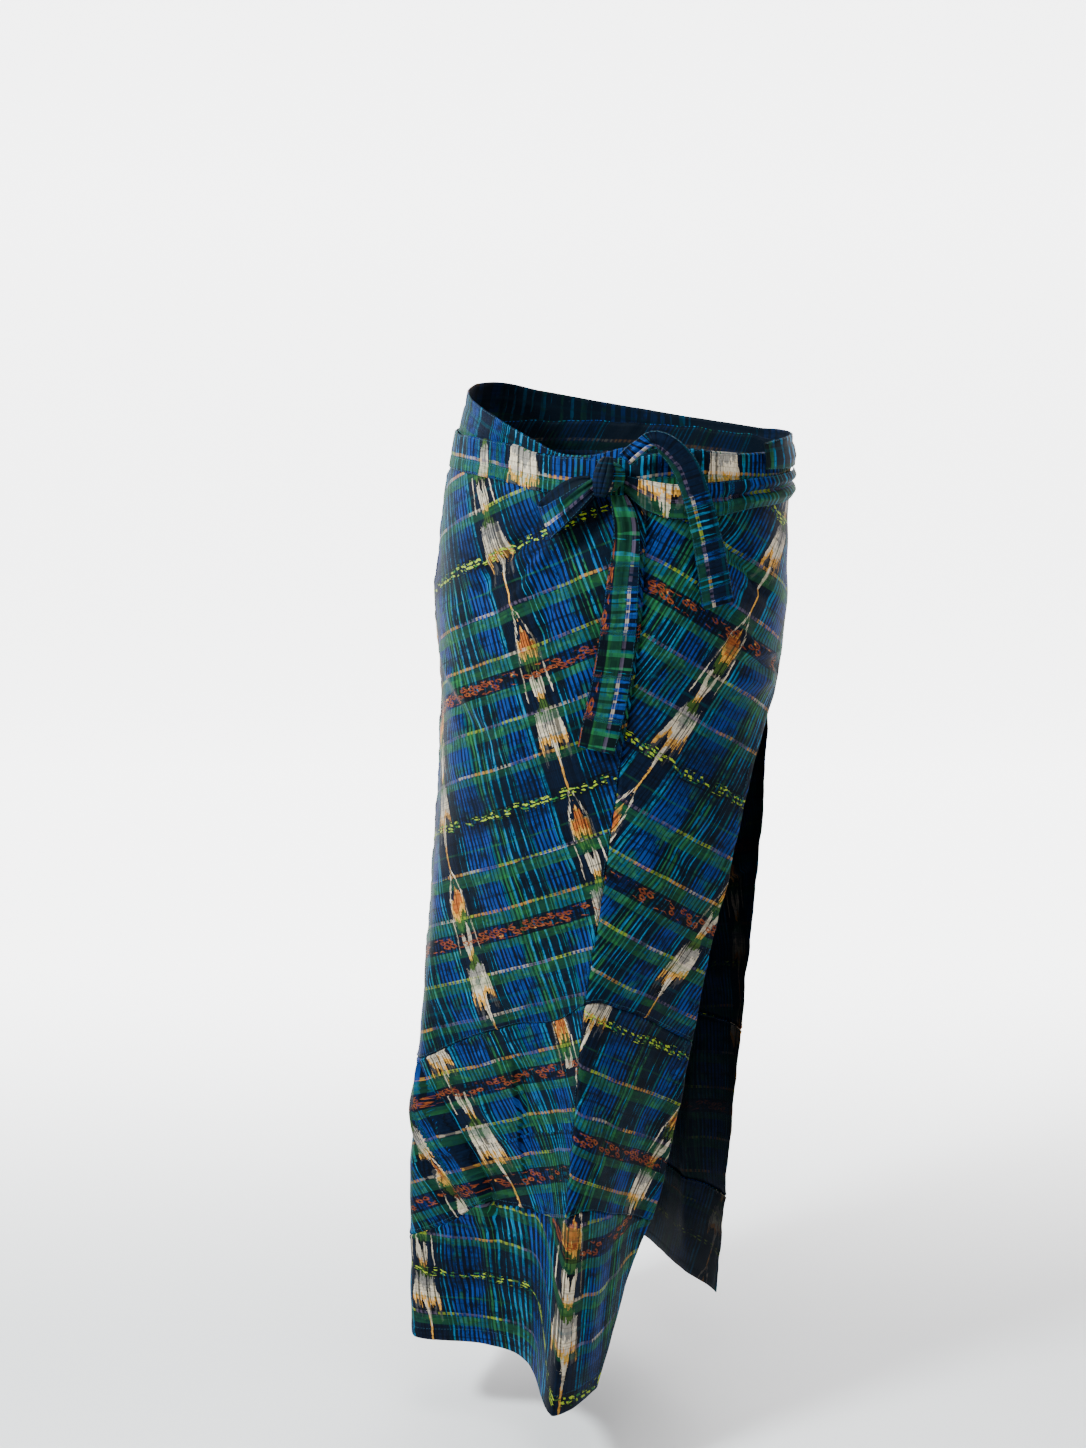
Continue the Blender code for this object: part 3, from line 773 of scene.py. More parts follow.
folded = {
    # from angle, height to angle, height, then half width and depth in mm: + is a ridge, - a trough
    "creases": [
        (207, -0.590, 247, -0.758, 3.4, -4.6), (205, -0.622, 238, -0.762, 8, 3.0),
        (212, -0.672, 230, -0.768, 3.2, -2.6), (254, -0.545, 266, -0.690, 3.4, -1.6),
        (262, -0.045, 243, -0.118, 3.2, -1.7), (325, -0.048, 349, -0.122, 3.2, -1.7),
        (226, -0.606, 258, -0.668, 9, 2.0), (243, -0.735, 246, -0.800, 8, -1.6),
        (226, -0.765, 224, -0.860, 9, 2.0), (233, -0.760, 233, -0.880, 9, -2.0),
        (263, -0.730, 268, -0.880, 9, -1.8), (196, -0.180, 236, -0.235, 8, 1.8),
        (200, -0.205, 240, -0.262, 8, -1.6), (255, -0.040, 226, -0.120, 8, -2.2),
        (262, -0.050, 240, -0.150, 8, 2.0), (268, -0.065, 254, -0.190, 7, -2.0),
        (318, -0.050, 341, -0.150, 7, 2.0), (326, -0.045, 352, -0.130, 7, -2.2),
        (335, -0.160, 366, -0.180, 6, 2.0), (337, -0.172, 366, -0.192, 5, -2.0),
        (332, -0.188, 362, -0.205, 6, 1.5), (300, -0.330, 325, -0.440, 10, 1.5),
        (303, -0.300, 333, -0.390, 10, -1.5), (288, -0.560, 300, -0.640, 7, -2.2),
        (287, -0.590, 297, -0.680, 6, 1.8), (277, -0.600, 283, -0.690, 6, -2.0),
        (291, -0.720, 289, -0.880, 6, -2.2), (298, -0.730, 291, -0.890, 8, 1.6),
        (306, -0.730, 295, -0.860, 7, -1.6), (60, -0.100, 75, -0.260, 10, -2.2),
        (82, -0.070, 92, -0.190, 9, 1.8), (110, -0.080, 100, -0.240, 10, 2.2),
        (140, -0.120, 132, -0.300, 10, -2.4), (122, -0.060, 118, -0.170, 8, -1.6),
        (60, -0.330, 100, -0.450, 10, 1.9), (96, -0.350, 140, -0.440, 10, -1.9),
        (45, -0.620, 50, -0.880, 11, -3.2), (66, -0.640, 70, -0.890, 11, 3.2),
        (92, -0.700, 94, -0.880, 9, -2.0), (118, -0.650, 124, -0.890, 12, -3.4),
        (146, -0.640, 150, -0.880, 11, 3.0), (172, -0.620, 178, -0.880, 11, -2.8),
    ],
    # folds that lie over on one side: from angle, height to angle, height, then depth in mm
    "tucks": [
        (208, -0.598, 245, -0.756, 5.5), (214, -0.690, 232, -0.760, 2.5), (252, -0.560, 262, -0.700, 2.0),
        (236, -0.090, 262, -0.048, 1.6), (336, -0.140, 362, -0.196, 2.0), (84, -0.660, 88, -0.880, 3.0),
        (130, -0.070, 126, -0.200, 2.0), (20, -0.400, 60, -0.480, 1.8),
    ],
    "creaseScale": 0.0018,
    "tuckScale": 0.0016,
    "tuckStep": 0.0010,
    "tuckReturn": 0.015,
    # slow swell of the whole cloth, down its length and across it
    "swell": 0.0020,
    "ripple": 0.0010,
}


def besideLine(x, height, ends, bend, lengths, power):
    # distance to a line bent by a ripple, and a fade that falls to nothing at both of its ends
    start = np.array([math.radians(ends[0]) * form["meanRadius"], ends[1]])
    line = np.array([math.radians(ends[2]) * form["meanRadius"], ends[3]]) - start
    length = np.hypot(*line)
    line = line / length
    along = ((x - start[0]) * line[0] + (height - start[1]) * line[1]) / length
    away = (x - start[0]) * line[1] - (height - start[1]) * line[0]
    away = away + bend * waves(along * length, ends[0], *lengths)
    return away, np.clip(1 - np.abs(2 * along - 1) ** power, 0, 1)


def relief(angle, height):
    # swell and ripple, plus each crease: depth x fade x bell of the distance to its line,
    # plus each tuck: a step from one side to the other (tanh), the cloth coming back slowly on both
    x = np.radians(angle) * form["meanRadius"]
    belowBand = np.clip((-0.05 - height) / 0.1, 0, 1)
    total = folded["swell"] * waves(x, 1.0, 0.083, 0.127, 0.191) * belowBand
    total = total + folded["ripple"] * waves(height + 0.3 * x, 2.0, 0.047, 0.071, 0.113)
    for *ends, wide, depth in folded["creases"]:
        away, fade = besideLine(x, height, ends, 0.0015, (0.045, 0.031), 2.2)
        total = total + depth * folded["creaseScale"] * fade * np.exp(-((away / (wide * 0.001)) ** 2))
    for *ends, depth in folded["tucks"]:
        away, fade = besideLine(x, height, ends, 0.0018, (0.065, 0.041), 3)
        step = np.tanh(away / folded["tuckStep"]) * np.exp(-np.abs(away) / folded["tuckReturn"])
        total = total + depth * folded["tuckScale"] * fade * step
    return total


cloth = {
    "thick": 0.0007, "thinnest": 0.0002,
    # hems at the bottom are this deep, those at the sides a share of it
    "hemThick": 0.0014, "hemDeep": 0.011, "sideHem": 0.7,
    "hemStep": 0.0008, "hemLift": 0.00035, "hemWave": 0.0005,
    "groove": 0.0014, "grooveWide": 0.0016, "pucker": 0.0008, "puckerReach": 0.011,
    "ridge": 0.0009, "ridgeFrom": 0.0036,
    "rim": 0.0009, "overlap": 0.001, "underBand": 0.004, "bandEdge": 0.0014, "bandBlend": 0.006,
    # stitch lines: distance from a seam and from a hem's inner edge
    "stitchFromSeam": 0.0042, "stitchFromHem": 0.0012,
}

# lines that stitches follow, filled in as the pieces are made
sewn = {"cloth": [], "ties": []}


def places(length, step, first, last):
    # column or row places from 0 to 1, with close ones at each edge and at each hem's fold
    marks = set(np.round(np.linspace(0, 1, max(int(length / step), 4) + 1), 5))
    for edge in (cloth["rim"], cloth["rim"] * 2.4):
        marks |= {round(edge / length, 5), round(1 - edge / length, 5)}
    for fold in (first, first + cloth["hemStep"]) if first else ():
        marks.add(round(fold / length, 5))
    for fold in (last, last + cloth["hemStep"]) if last else ():
        marks.add(round(1 - fold / length, 5))
    return np.array(sorted(marks))


def bandLift(x, height, side):
    # ripples of the waistband, strongest at its edges
    lift = 0.0009 * waves(x, 2.0, 0.026, 0.041, 0.073) * (0.3 + np.abs(side + 0.1))
    return lift + 0.0007 * waves(x + 0.5 * height, 5.0, 0.011, 0.019, 0.031) * (0.2 + (side - 0.1) ** 2 * 2)


def waistUnder(angle):
    return around("waist", angle) - form["bandWidth"] / 2


def tierOne(angle):
    return around("tier1", angle)


def tierTwo(angle):
    return around("tier2", angle)


def hemLine(angle):
    return np.full_like(angle, form["hem"])


def piecedWithPaintedShade(corners):
    # Pieced cloth, face by face: after one row of links the next is of the same kind,
    # and a fold swallows the cloth beside the figure; the faces along the fold's line take a plain dark
    # column as painted shade in the fold
    row = corners[..., 1].mean(-1, keepdims=True)
    lower, lowest = row > 0.112, row > 0.168
    column = corners[..., 0] / plaid["columnEvery"]
    slanted = column - 0.06 * np.clip((row - 0.12) / 0.095, 0, 1)
    before = [18.4, 19.62, 19.69, 19.70, 19.795, 19.87, 20.065, 21.6]
    after = [17.78, 19.0, 19.07, 19.71, 19.83, 19.87, 20.0, 21.535]
    tucked = np.interp(slanted, before, after) + 2
    middle = slanted.mean(-1, keepdims=True)
    # painted shade: faces on the fold's line read the plain dark column, a dark strip standing in for the
    # fold's shadow
    paintedShadeStrip = (middle > 19.795) & (middle < 19.862)
    tucked = np.where(paintedShadeStrip, 64.97 + slanted - 19.83, tucked + 2 * lowest)
    across = np.where(lower, tucked, column) * plaid["columnEvery"]
    return np.stack([across, corners[..., 1] + 0.135 * lowest], -1)


def bentGrain(x, across, along):
    # lowest tier at the back: a column on the crest and one near the side; the rows sag toward the crest
    sagAt = [-0.15, -0.10, -0.065, -0.045, -0.02, 0, 0.03, 0.06, 0.12, 0.2]
    sag = np.interp(x, sagAt, [0, -0.006, -0.006, 0.012, 0.048, 0.066, 0.069, 0.073, 0.06, 0.03])
    across = np.interp(x, [-0.5, -0.12, 0.006, 0.5], [-0.452, -0.072, 0.0, 0.489])
    along = (along - sag) * np.interp(x, [-0.08, -0.02, 0.1, 0.2], [1.0, 0.79, 0.8, 0.9]) - 0.001
    return across, along


def leaningRows(x, across, along):
    # the rows lean less than the columns do
    return across, along - 0.17 * x


crestSeam = -form["seamBesideCrest"]
front = [("frontEdge", 0), ("side", 0)]
left = [("side", 0), ("crest", crestSeam)]
right = [("crest", crestSeam), ("crest", 0), ("backEdge", 0)]
back = [("side", 0), ("crest", 0), ("backEdge", 0)]

# lines: those down the skirt, where middle is the share of the width at the second of three;
# edges: left, right, top, bottom; grain: slant in degrees, cloth across, whole columns of it before,
# cloth along, mirrored or not
panels = {
    "front_upper": {
        "lines": front, "top": waistUnder, "bottom": tierOne, "edges": ("hem", "seam", "seam", "seam"),
        "grain": (22, 0.04, 40, 0.03, True), "size": (0.50, 0.58), "flat": (0.50, 0.60), "area": 0.265},
    "back_left_upper": {
        "lines": left, "top": waistUnder, "bottom": tierOne, "edges": ("seam", "seam", "seam", "seam"),
        "grain": (24.5, -0.162, 0, 0.012, False), "size": (0.27, 0.55), "flat": (0.27, 0.60), "area": 0.134},
    "back_right_upper": {
        "lines": right, "top": waistUnder, "bottom": tierOne, "edges": ("seam", "hem", "seam", "seam"),
        "middle": 0.06,
        "grain": (30, 0.152, 10, 0.205, True), "size": (0.20, 0.52), "flat": (0.22, 0.56), "area": 0.081},
    "front_middle": {
        "lines": front, "top": tierOne, "bottom": tierTwo, "edges": ("hem", "seam", "seam", "seam"),
        "grain": (20, 0.02, 50, 0.07, True), "size": (0.52, 0.19), "flat": (0.49, 0.20), "area": 0.088},
    "back_left_middle": {
        "lines": left, "top": tierOne, "bottom": tierTwo, "edges": ("seam", "seam", "seam", "seam"),
        "grain": (25, -0.404, 20, 0.385, False), "size": (0.27, 0.21), "flat": (0.27, 0.22), "area": 0.0485,
        "step": 0.0022, "recut": piecedWithPaintedShade},
    "back_right_middle": {
        "lines": right, "top": tierOne, "bottom": tierTwo, "edges": ("seam", "hem", "seam", "seam"),
        "middle": 0.06,
        "grain": (20, 0.178, 30, 0.470, True), "size": (0.14, 0.20), "flat": (0.14, 0.22), "area": 0.0262,
        "bend": leaningRows},
    "front_lower": {
        "lines": front, "top": tierTwo, "bottom": hemLine, "edges": ("hem", "seam", "seam", "hem"),
        "grain": (0, 0.05, 42, 0.85, False), "size": (0.55, 0.12), "flat": (0.49, 0.13), "area": 0.0520},
    "back_lower": {
        "lines": back, "top": tierTwo, "bottom": hemLine, "edges": ("seam", "hem", "seam", "hem"),
        "grain": (0, 0, 60, 0.820, False), "size": (0.36, 0.17), "flat": (0.41, 0.21), "area": 0.0610,
        "middle": 0.72, "bend": bentGrain},
}
panelStep = 0.0042


def sideHem(edge):
    return cloth["hemDeep"] * cloth["sideHem"] if edge == "hem" else 0


def panelGrid(cut):
    # rows run evenly from the top line to the bottom line, columns evenly between the lines down the skirt
    first, last, _, lowest = cut["edges"]
    step = cut.get("step", panelStep)
    share = places(cut["size"][0], step, sideHem(first), sideHem(last))
    rows = places(cut["size"][1], step, 0, cloth["hemDeep"] if lowest == "hem" else 0)
    splits = [0, cut["middle"], 1] if "middle" in cut else [0, 1]

    def angleAt(height):
        bounds = [down(line, height) + shift for line, shift in cut["lines"]]
        total = bounds[0]
        for k in range(len(splits) - 1):
            t = np.clip((share - splits[k]) / (splits[k + 1] - splits[k]), 0, 1)
            total = np.where(share >= splits[k], bounds[k] + (bounds[k + 1] - bounds[k]) * t, total)
        return total

    # the angle depends on the height and the height on the angle, so both are worked out in turns
    high = np.full(len(share), -0.4)
    low = np.full(len(share), -0.4)
    for _ in range(25):
        high = cut["top"](angleAt(high))
        low = cut["bottom"](angleAt(low))
    height = high + (low - high) * rows[:, None]
    angle = angleAt(height)
    # the sewn edges reach a millimetre under the next panel, the top ones further behind the waistband
    way = np.sign(angle[:1, -1] - angle[:1, 0]) * np.degrees(cloth["overlap"] / form["meanRadius"])
    outer = (share == 1) * (last == "seam") - 1.0 * (share == 0) * (first == "seam")
    angle = angle + way * outer[None, :]
    under = cloth["underBand"] if cut["top"] is waistUnder else cloth["overlap"]
    tucked = under * (rows == 0) - cloth["overlap"] * (rows == 1) * (lowest == "seam")
    return angle, height + tucked[:, None]


def edgeForm(lift, thick, kind, away, along, seed, deep):
    if kind == "seam":
        # seam: a groove, puckers that fade with the distance, and a low ridge beside it
        lift = lift - cloth["groove"] * np.exp(-((away / cloth["grooveWide"]) ** 2))
        pull = np.exp(-away / cloth["puckerReach"]) * waves(along, seed + 3.0, 0.0113, 0.0171, 0.0277)
        ridge = np.exp(-(((away - cloth["ridgeFrom"]) / cloth["grooveWide"]) ** 2))
        return lift + cloth["pucker"] * pull + cloth["ridge"] * ridge, thick
    # hem: doubled cloth up to its fold, a slow wave along it, and an edge that rolls in
    fold = np.clip((deep - away) / cloth["hemStep"], 0, 1)
    wave = np.exp(-away / 0.006) * waves(along, seed + 1.0, 0.021, 0.034, 0.055)
    near = np.clip(1 - away / cloth["rim"], 0, 1)
    lift = lift + cloth["hemLift"] * fold + cloth["hemWave"] * wave - 0.4 * cloth["hemThick"] * near**2
    thick = thick + (cloth["hemThick"] - cloth["thick"]) * fold - 0.75 * cloth["hemThick"] * near**2
    return lift, thick


def clothPlace(cut, x, height):
    # flat cloth coordinates = the panel's own, turned by its slant, mirrored where the cloth is, then shifted
    slant, aside, columns, start, mirrored = cut["grain"]
    t = math.radians(slant)
    sign = -1 if mirrored else 1
    across = x * math.cos(t) + sign * height * math.sin(t)
    along = sign * x * math.sin(t) - height * math.cos(t) - start
    if "bend" in cut:
        across, along = cut["bend"](x, across, along)
    return np.stack([across - aside + columns * plaid["columnEvery"], along], -1)


def makePanel(node, cut):
    angle, height = panelGrid(cut)
    x = clothX(angle, height)
    # distance of each point to the four edges, measured on the cloth
    fromLeft, fromRight = np.abs(x - x[:, :1]), np.abs(x[:, -1:] - x)
    fromTop, fromBottom = np.abs(height - height[:1]), np.abs(height[-1:] - height)
    lift = relief(angle, height) + lapLift(angle)
    thick = np.full(angle.shape, cloth["thick"])
    deep = cloth["hemDeep"] * cloth["sideHem"]
    sides = [
        (fromLeft, height, 1, deep), (fromRight, height, 1, deep),
        (fromTop, x, 3, deep), (fromBottom, x, 3, cloth["hemDeep"]),
    ]
    for kind, (away, along, seed, fold) in zip(cut["edges"], sides):
        lift, thick = edgeForm(lift, thick, kind, away, along, seed, fold)
    if cut["top"] is waistUnder:
        # the upper edge follows the waistband's ripples and reaches up behind it
        near = np.exp(-((np.clip(fromTop - cloth["underBand"], 0, 1) / cloth["bandBlend"]) ** 2))
        lift = lift * (1 - near) + (bandLift(x, height, -0.5) + lapLift(angle) - cloth["bandEdge"]) * near
    points = surface(angle, height, lift)
    normals = gridNormals(points)
    # stitches down the side hems and the right seam, and along the bottom
    first, last, _, lowest = cut["edges"]
    half = len(x) // 2
    lines = [(last, fromRight)] if first == "seam" else [(first, fromLeft), (last, fromRight)]
    for kind, away in lines:
        at = deep if kind == "hem" else cloth["stitchFromSeam"]
        j = int(np.argmin(np.abs(away[half] - at + cloth["stitchFromHem"])))
        sewn["cloth"].append((points[:, j], normals[:, j]))
    at = cloth["hemDeep"] - cloth["stitchFromHem"] if lowest == "hem" else cloth["stitchFromSeam"]
    i = int(np.argmin(np.abs(fromBottom[:, 5] - at)))
    sewn["cloth"].append((points[i], normals[i]))
    thick = np.maximum(thick, cloth["thinnest"])
    obj = shell("cloth_" + node, points, thick, clothPlace(cut, x, height), node, recut=cut.get("recut"))


for node, cut in panels.items():
    makePanel(node, cut)
print("panels ready")

waistband = {
    "from": 2.0, "to": 382.0, "thick": 0.0016, "columns": 330, "across": 13, "flat": (1.0, 0.034),
    # the strip's edges, where it rounds off
    "edge": 0.46, "edgeTurn": 0.0013, "edgeThins": 0.6, "clothAlong": 0.131,
    # length along the band from the crest, and the print's place there in mm: three figures show at the back
    "cloth": [(-0.70, 9984), (-0.180, 10504), (-0.173, 10524), (-0.158, 10556), (-0.153, 10575),
              (-0.139, 10677), (-0.098, 10713), (-0.092, 10719), (0.030, 10825), (0.046, 10834),
              (0.080, 10866), (0.21, 10996)],
}


def makeWaistband():
    # a long strip: its height follows the waist line, it ripples between gathers and its edges turn in
    angle = np.linspace(waistband["from"], waistband["to"], waistband["columns"])
    count, edge = waistband["across"], waistband["edge"]
    side = np.concatenate([[0.5, 0.485], np.linspace(edge, -edge, count), [-0.485, -0.5]])[:, None]
    height = around("waist", angle)[None, :] + side * form["bandWidth"]
    angle = np.broadcast_to(angle, height.shape)
    x = clothX(angle, height)
    rounded = np.clip((np.abs(side) - edge) / (0.5 - edge), 0, 1)
    lift = lapLift(angle) + bandLift(x, height, side)
    # a sewn line below the middle
    lift = lift - 0.0007 * np.exp(-(((side + 0.17) / 0.04) ** 2)) - waistband["edgeTurn"] * rounded**2
    height = height + 0.0012 * waves(x, 8.0, 0.033, 0.057, 0.091) * np.clip(side * 2, 0, 1)
    thick = np.full(height.shape, waistband["thick"]) * (1 - waistband["edgeThins"] * rounded)
    points = surface(angle, height, lift)
    across = np.interp(x, *zip(*waistband["cloth"])) / 1000
    along = np.broadcast_to((0.5 - side) * form["bandWidth"] + waistband["clothAlong"], across.shape)
    normals = gridNormals(points)
    for j in (2, count + 1, 2 + int(count * 0.66)):
        sewn["cloth"].append((points[j], normals[j]))
    obj = shell("cloth_waistband", points, thick, np.stack([across, along], -1), "waistband")


# ties. rows: angle, height, width, lift, tilt of the width in degrees, crown in mm;
# folds: place across at the start and at the end, width, depth in mm, from and to as shares of the length;
# cloth: length along the tie and the print's place there in mm, then the print's place and direction across;
# gather: how much the knot gathers the tie at its start and at its end, in mm
ribbons = {
    "tie_wrap": {
        "rows": [
            (343, 0.0090, 0.022, 0.0066, 90, 0.5), (352, 0.0090, 0.026, 0.0070, 90, 0.5),
            (365, 0.0080, 0.028, 0.0066, 90, 1.0), (380, 0.0060, 0.030, 0.0062, 90, 1.0),
            (396, 0.0040, 0.032, 0.0038, 90, 0.5), (430, 0.0080, 0.033, 0.0032, 90, 0.3),
            (470, 0.0180, 0.033, 0.0032, 90, 0.3), (500, 0.0280, 0.036, 0.0032, 90, 0.3),
            (518, 0.0370, 0.038, 0.0028, 90, 0.3), (532, 0.0390, 0.039, 0.0006, 90, 0.3),
            (546, 0.0385, 0.038, -0.0028, 90, 0.3), (564, 0.0335, 0.033, -0.0036, 90, 0.3),
            (578, 0.0255, 0.033, -0.0036, 90, 0.3), (592, 0.0155, 0.033, -0.0036, 90, 0.3),
            (604, 0.0070, 0.032, -0.0036, 90, 0.3), (618, -0.0020, 0.030, -0.0036, 90, 0.3),
            (634, -0.0010, 0.028, -0.0036, 90, 0.3), (646, 0.0060, 0.026, -0.0036, 90, 0.3),
            (653, 0.0140, 0.014, -0.0038, 90, 0.5), (659, 0.0210, 0.008, -0.0034, 90, 1.0),
            (664, 0.0235, 0.008, 0.0010, 90, 1.5), (668, 0.0225, 0.008, 0.0058, 90, 1.5),
            (671, 0.0170, 0.010, 0.0064, 90, 1.0),
        ],
        "folds": [(0.30, 0.10, 0.10, -1.4, 0.00, 0.30), (-0.22, 0.05, 0.09, 1.2, 0.02, 0.40),
                  (0.0, 0.3, 0.08, -0.9, 0.45, 0.80), (0.2, -0.3, 0.10, 1.0, 0.75, 1.0)],
        "cloth": ([(0, 9996), (80, 10024), (420, 10182), (500, 10198), (600, 10005), (640, 10030),
                   (700, 9962), (800, 10040)], 0.171, 1),
        "flat": (0.775, 0.035), "gather": (0.0, 0.8),
    },
    "tie_side": {
        "rows": [
            (368, -0.0200, 0.024, 0.0056, 90, 1.2), (360, -0.0200, 0.025, 0.0058, 90, 1.2),
            (350, -0.0210, 0.026, 0.0054, 90, 1.0), (339, -0.0215, 0.026, 0.0048, 90, 0.8),
            (330, -0.0235, 0.029, 0.0044, 90, 0.5), (322, -0.0255, 0.031, 0.0040, 90, 0.4),
            (310, -0.0260, 0.030, 0.0040, 90, 0.4), (300, -0.0210, 0.026, 0.0046, 90, 0.6),
            (294, -0.0150, 0.020, 0.0056, 90, 1.0), (290.2, -0.0105, 0.014, 0.0064, 90, 1.5),
        ],
        "folds": [(0.04, 0.00, 0.08, -4.8, -0.10, 0.66), (0.30, 0.26, 0.13, 2.2, -0.10, 0.70),
                  (-0.27, -0.24, 0.13, 2.4, -0.10, 0.60), (0.0, 0.2, 0.07, -1.2, 0.6, 1.0)],
        "cloth": ([(0, 9980), (60, 10024), (100, 10058), (108, 10075), (112, 10330), (140, 10362),
                   (158, 10378), (212, 10410)], 0.0895, -1),
        "flat": (0.212, 0.031), "gather": (0.0, 1.4),
    },
    "bow_loop": {
        "rows": [
            (277.6, -0.0125, 0.012, 0.0120, 115, 1.0), (273.0, -0.0220, 0.018, 0.0165, 115, 0.8),
            (267.0, -0.0345, 0.023, 0.0190, 118, 0.6), (261.5, -0.0440, 0.027, 0.0180, 120, 0.3),
            (258.9, -0.0465, 0.031, 0.0150, 120, 0.0), (258.2, -0.0455, 0.034, 0.0115, 118, 0.0),
            (259.2, -0.0415, 0.035, 0.0078, 116, 0.0), (262.0, -0.0345, 0.035, 0.0058, 114, 0.0),
            (267.0, -0.0250, 0.032, 0.0050, 114, 0.2), (272.5, -0.0170, 0.025, 0.0050, 116, 0.4),
            (276.6, -0.0120, 0.015, 0.0056, 120, 0.6),
        ],
        "folds": [(0.2, 0.1, 0.12, -2.0, 0.0, 0.35), (-0.2, -0.1, 0.12, 1.2, 0.0, 0.35),
                  (0.0, 0.2, 0.12, 1.0, 0.6, 1.0)],
        "cloth": ([(0, 10075), (18, 10068), (60, 10030), (118, 10070)], 0.192, 1),
        "flat": (0.118, 0.030), "gather": (1.2, 1.2),
    },
    "bow_tail_short": {
        "rows": [
            (290.0, 0.0095, 0.014, 0.0120, -45, 3.0), (293.5, 0.0170, 0.014, 0.0150, -38, 3.5),
            (297.5, 0.0235, 0.015, 0.0165, -18, 2.5), (302.0, 0.0255, 0.018, 0.0165, -82, 1.0),
            (307.4, 0.0190, 0.019, 0.0150, -132, 0.4), (312.4, 0.0050, 0.021, 0.0125, -155, 0.3),
            (316.6, -0.0180, 0.022, 0.0100, -162, 0.3), (320.4, -0.0470, 0.024, 0.0080, -163, 0.3),
            (323.6, -0.0810, 0.027, 0.0068, -165, 0.3), (326.0, -0.1170, 0.029, 0.0072, -168, 0.3),
        ],
        "folds": [(0.15, 0.2, 0.12, -1.2, 0.0, 0.32), (-0.2, -0.1, 0.10, 0.8, 0.45, 0.75),
                  (0.2, 0.3, 0.08, -0.6, 0.5, 0.9)],
        "cloth": ([(0, 10030), (28, 10050), (29, 10062), (60, 10084), (61, 10062), (93, 10084), (94, 10029),
                   (104, 10037), (105, 10000), (136, 10022), (137, 10062), (144, 10068), (145, 10032),
                   (152, 10040), (153, 10064), (166, 10074), (167, 9999), (176, 10006), (177, 10064),
                   (186, 10072), (187, 10030), (197, 10036)], 0.1855, 1),
        "flat": (0.197, 0.028), "gather": (1.5, 0.0),
    },
    "bow_tail_long": {
        "rows": [
            (288.0, -0.0205, 0.013, 0.0105, 0, 1.5), (290.5, -0.0340, 0.019, 0.0100, 0, 1.0),
            (292.4, -0.0550, 0.022, 0.0082, 0, 0.6), (291.8, -0.1060, 0.028, 0.0066, 0, 0.4),
            (290.2, -0.1630, 0.032, 0.0062, -3, 0.3), (286.8, -0.2130, 0.034, 0.0070, -8, 0.3),
            (284.2, -0.2460, 0.032, 0.0090, -10, 0.3),
        ],
        "folds": [(0.1, 0.05, 0.09, -1.6, 0.0, 0.55), (-0.28, -0.2, 0.08, 1.0, 0.0, 0.5),
                  (0.3, 0.2, 0.08, -0.7, 0.4, 0.9)],
        "cloth": ([(0, 9982), (60, 9996), (61, 10060), (80, 10070), (82, 10182), (120, 10206), (122, 9980),
                   (160, 9992), (162, 10182), (200, 10204), (202, 9982), (233, 9992)], 0.0955, -1),
        "flat": (0.233, 0.034), "gather": (1.6, 0.0),
    },
}
ribbonCut = {
    "step": 0.0026, "endStep": 0.0006, "across": 15, "edge": 0.465, "thick": 0.0013, "gatherReach": 0.022,
}


def ribbonRelief(part, side, share, length, crown, rounded, seed):
    # fullest along the middle, edges turned down, plus folds that run along it, gathers at the knot
    # and a slow wave
    rise = crown * 0.001 * (1 - (2 * side) ** 2) - 0.0006 * rounded**2
    for centre0, centre1, wide, depth, first, last in part["folds"]:
        t = np.clip((share - first) / (last - first), 0, 1)
        fade = np.where((share >= first) & (share <= last), np.clip(1 - np.abs(2 * t - 1) ** 3, 0, 1), 0)
        away = side - centre0 - (centre1 - centre0) * t
        rise = rise + depth * 0.001 * fade * np.exp(-((away / wide) ** 2))
    near, far = part["gather"]
    fall = ribbonCut["gatherReach"]
    pull = near * np.exp(-share * length / fall) + far * np.exp(-(1 - share) * length / fall)
    rise = rise + pull * 0.001 * np.cos(2 * np.pi * (side * 2.6 + 0.2) + 3 * share)
    return rise + 0.0006 * waves(share * length + side * 0.01, seed, 0.031, 0.047, 0.083) * np.abs(side) * 2


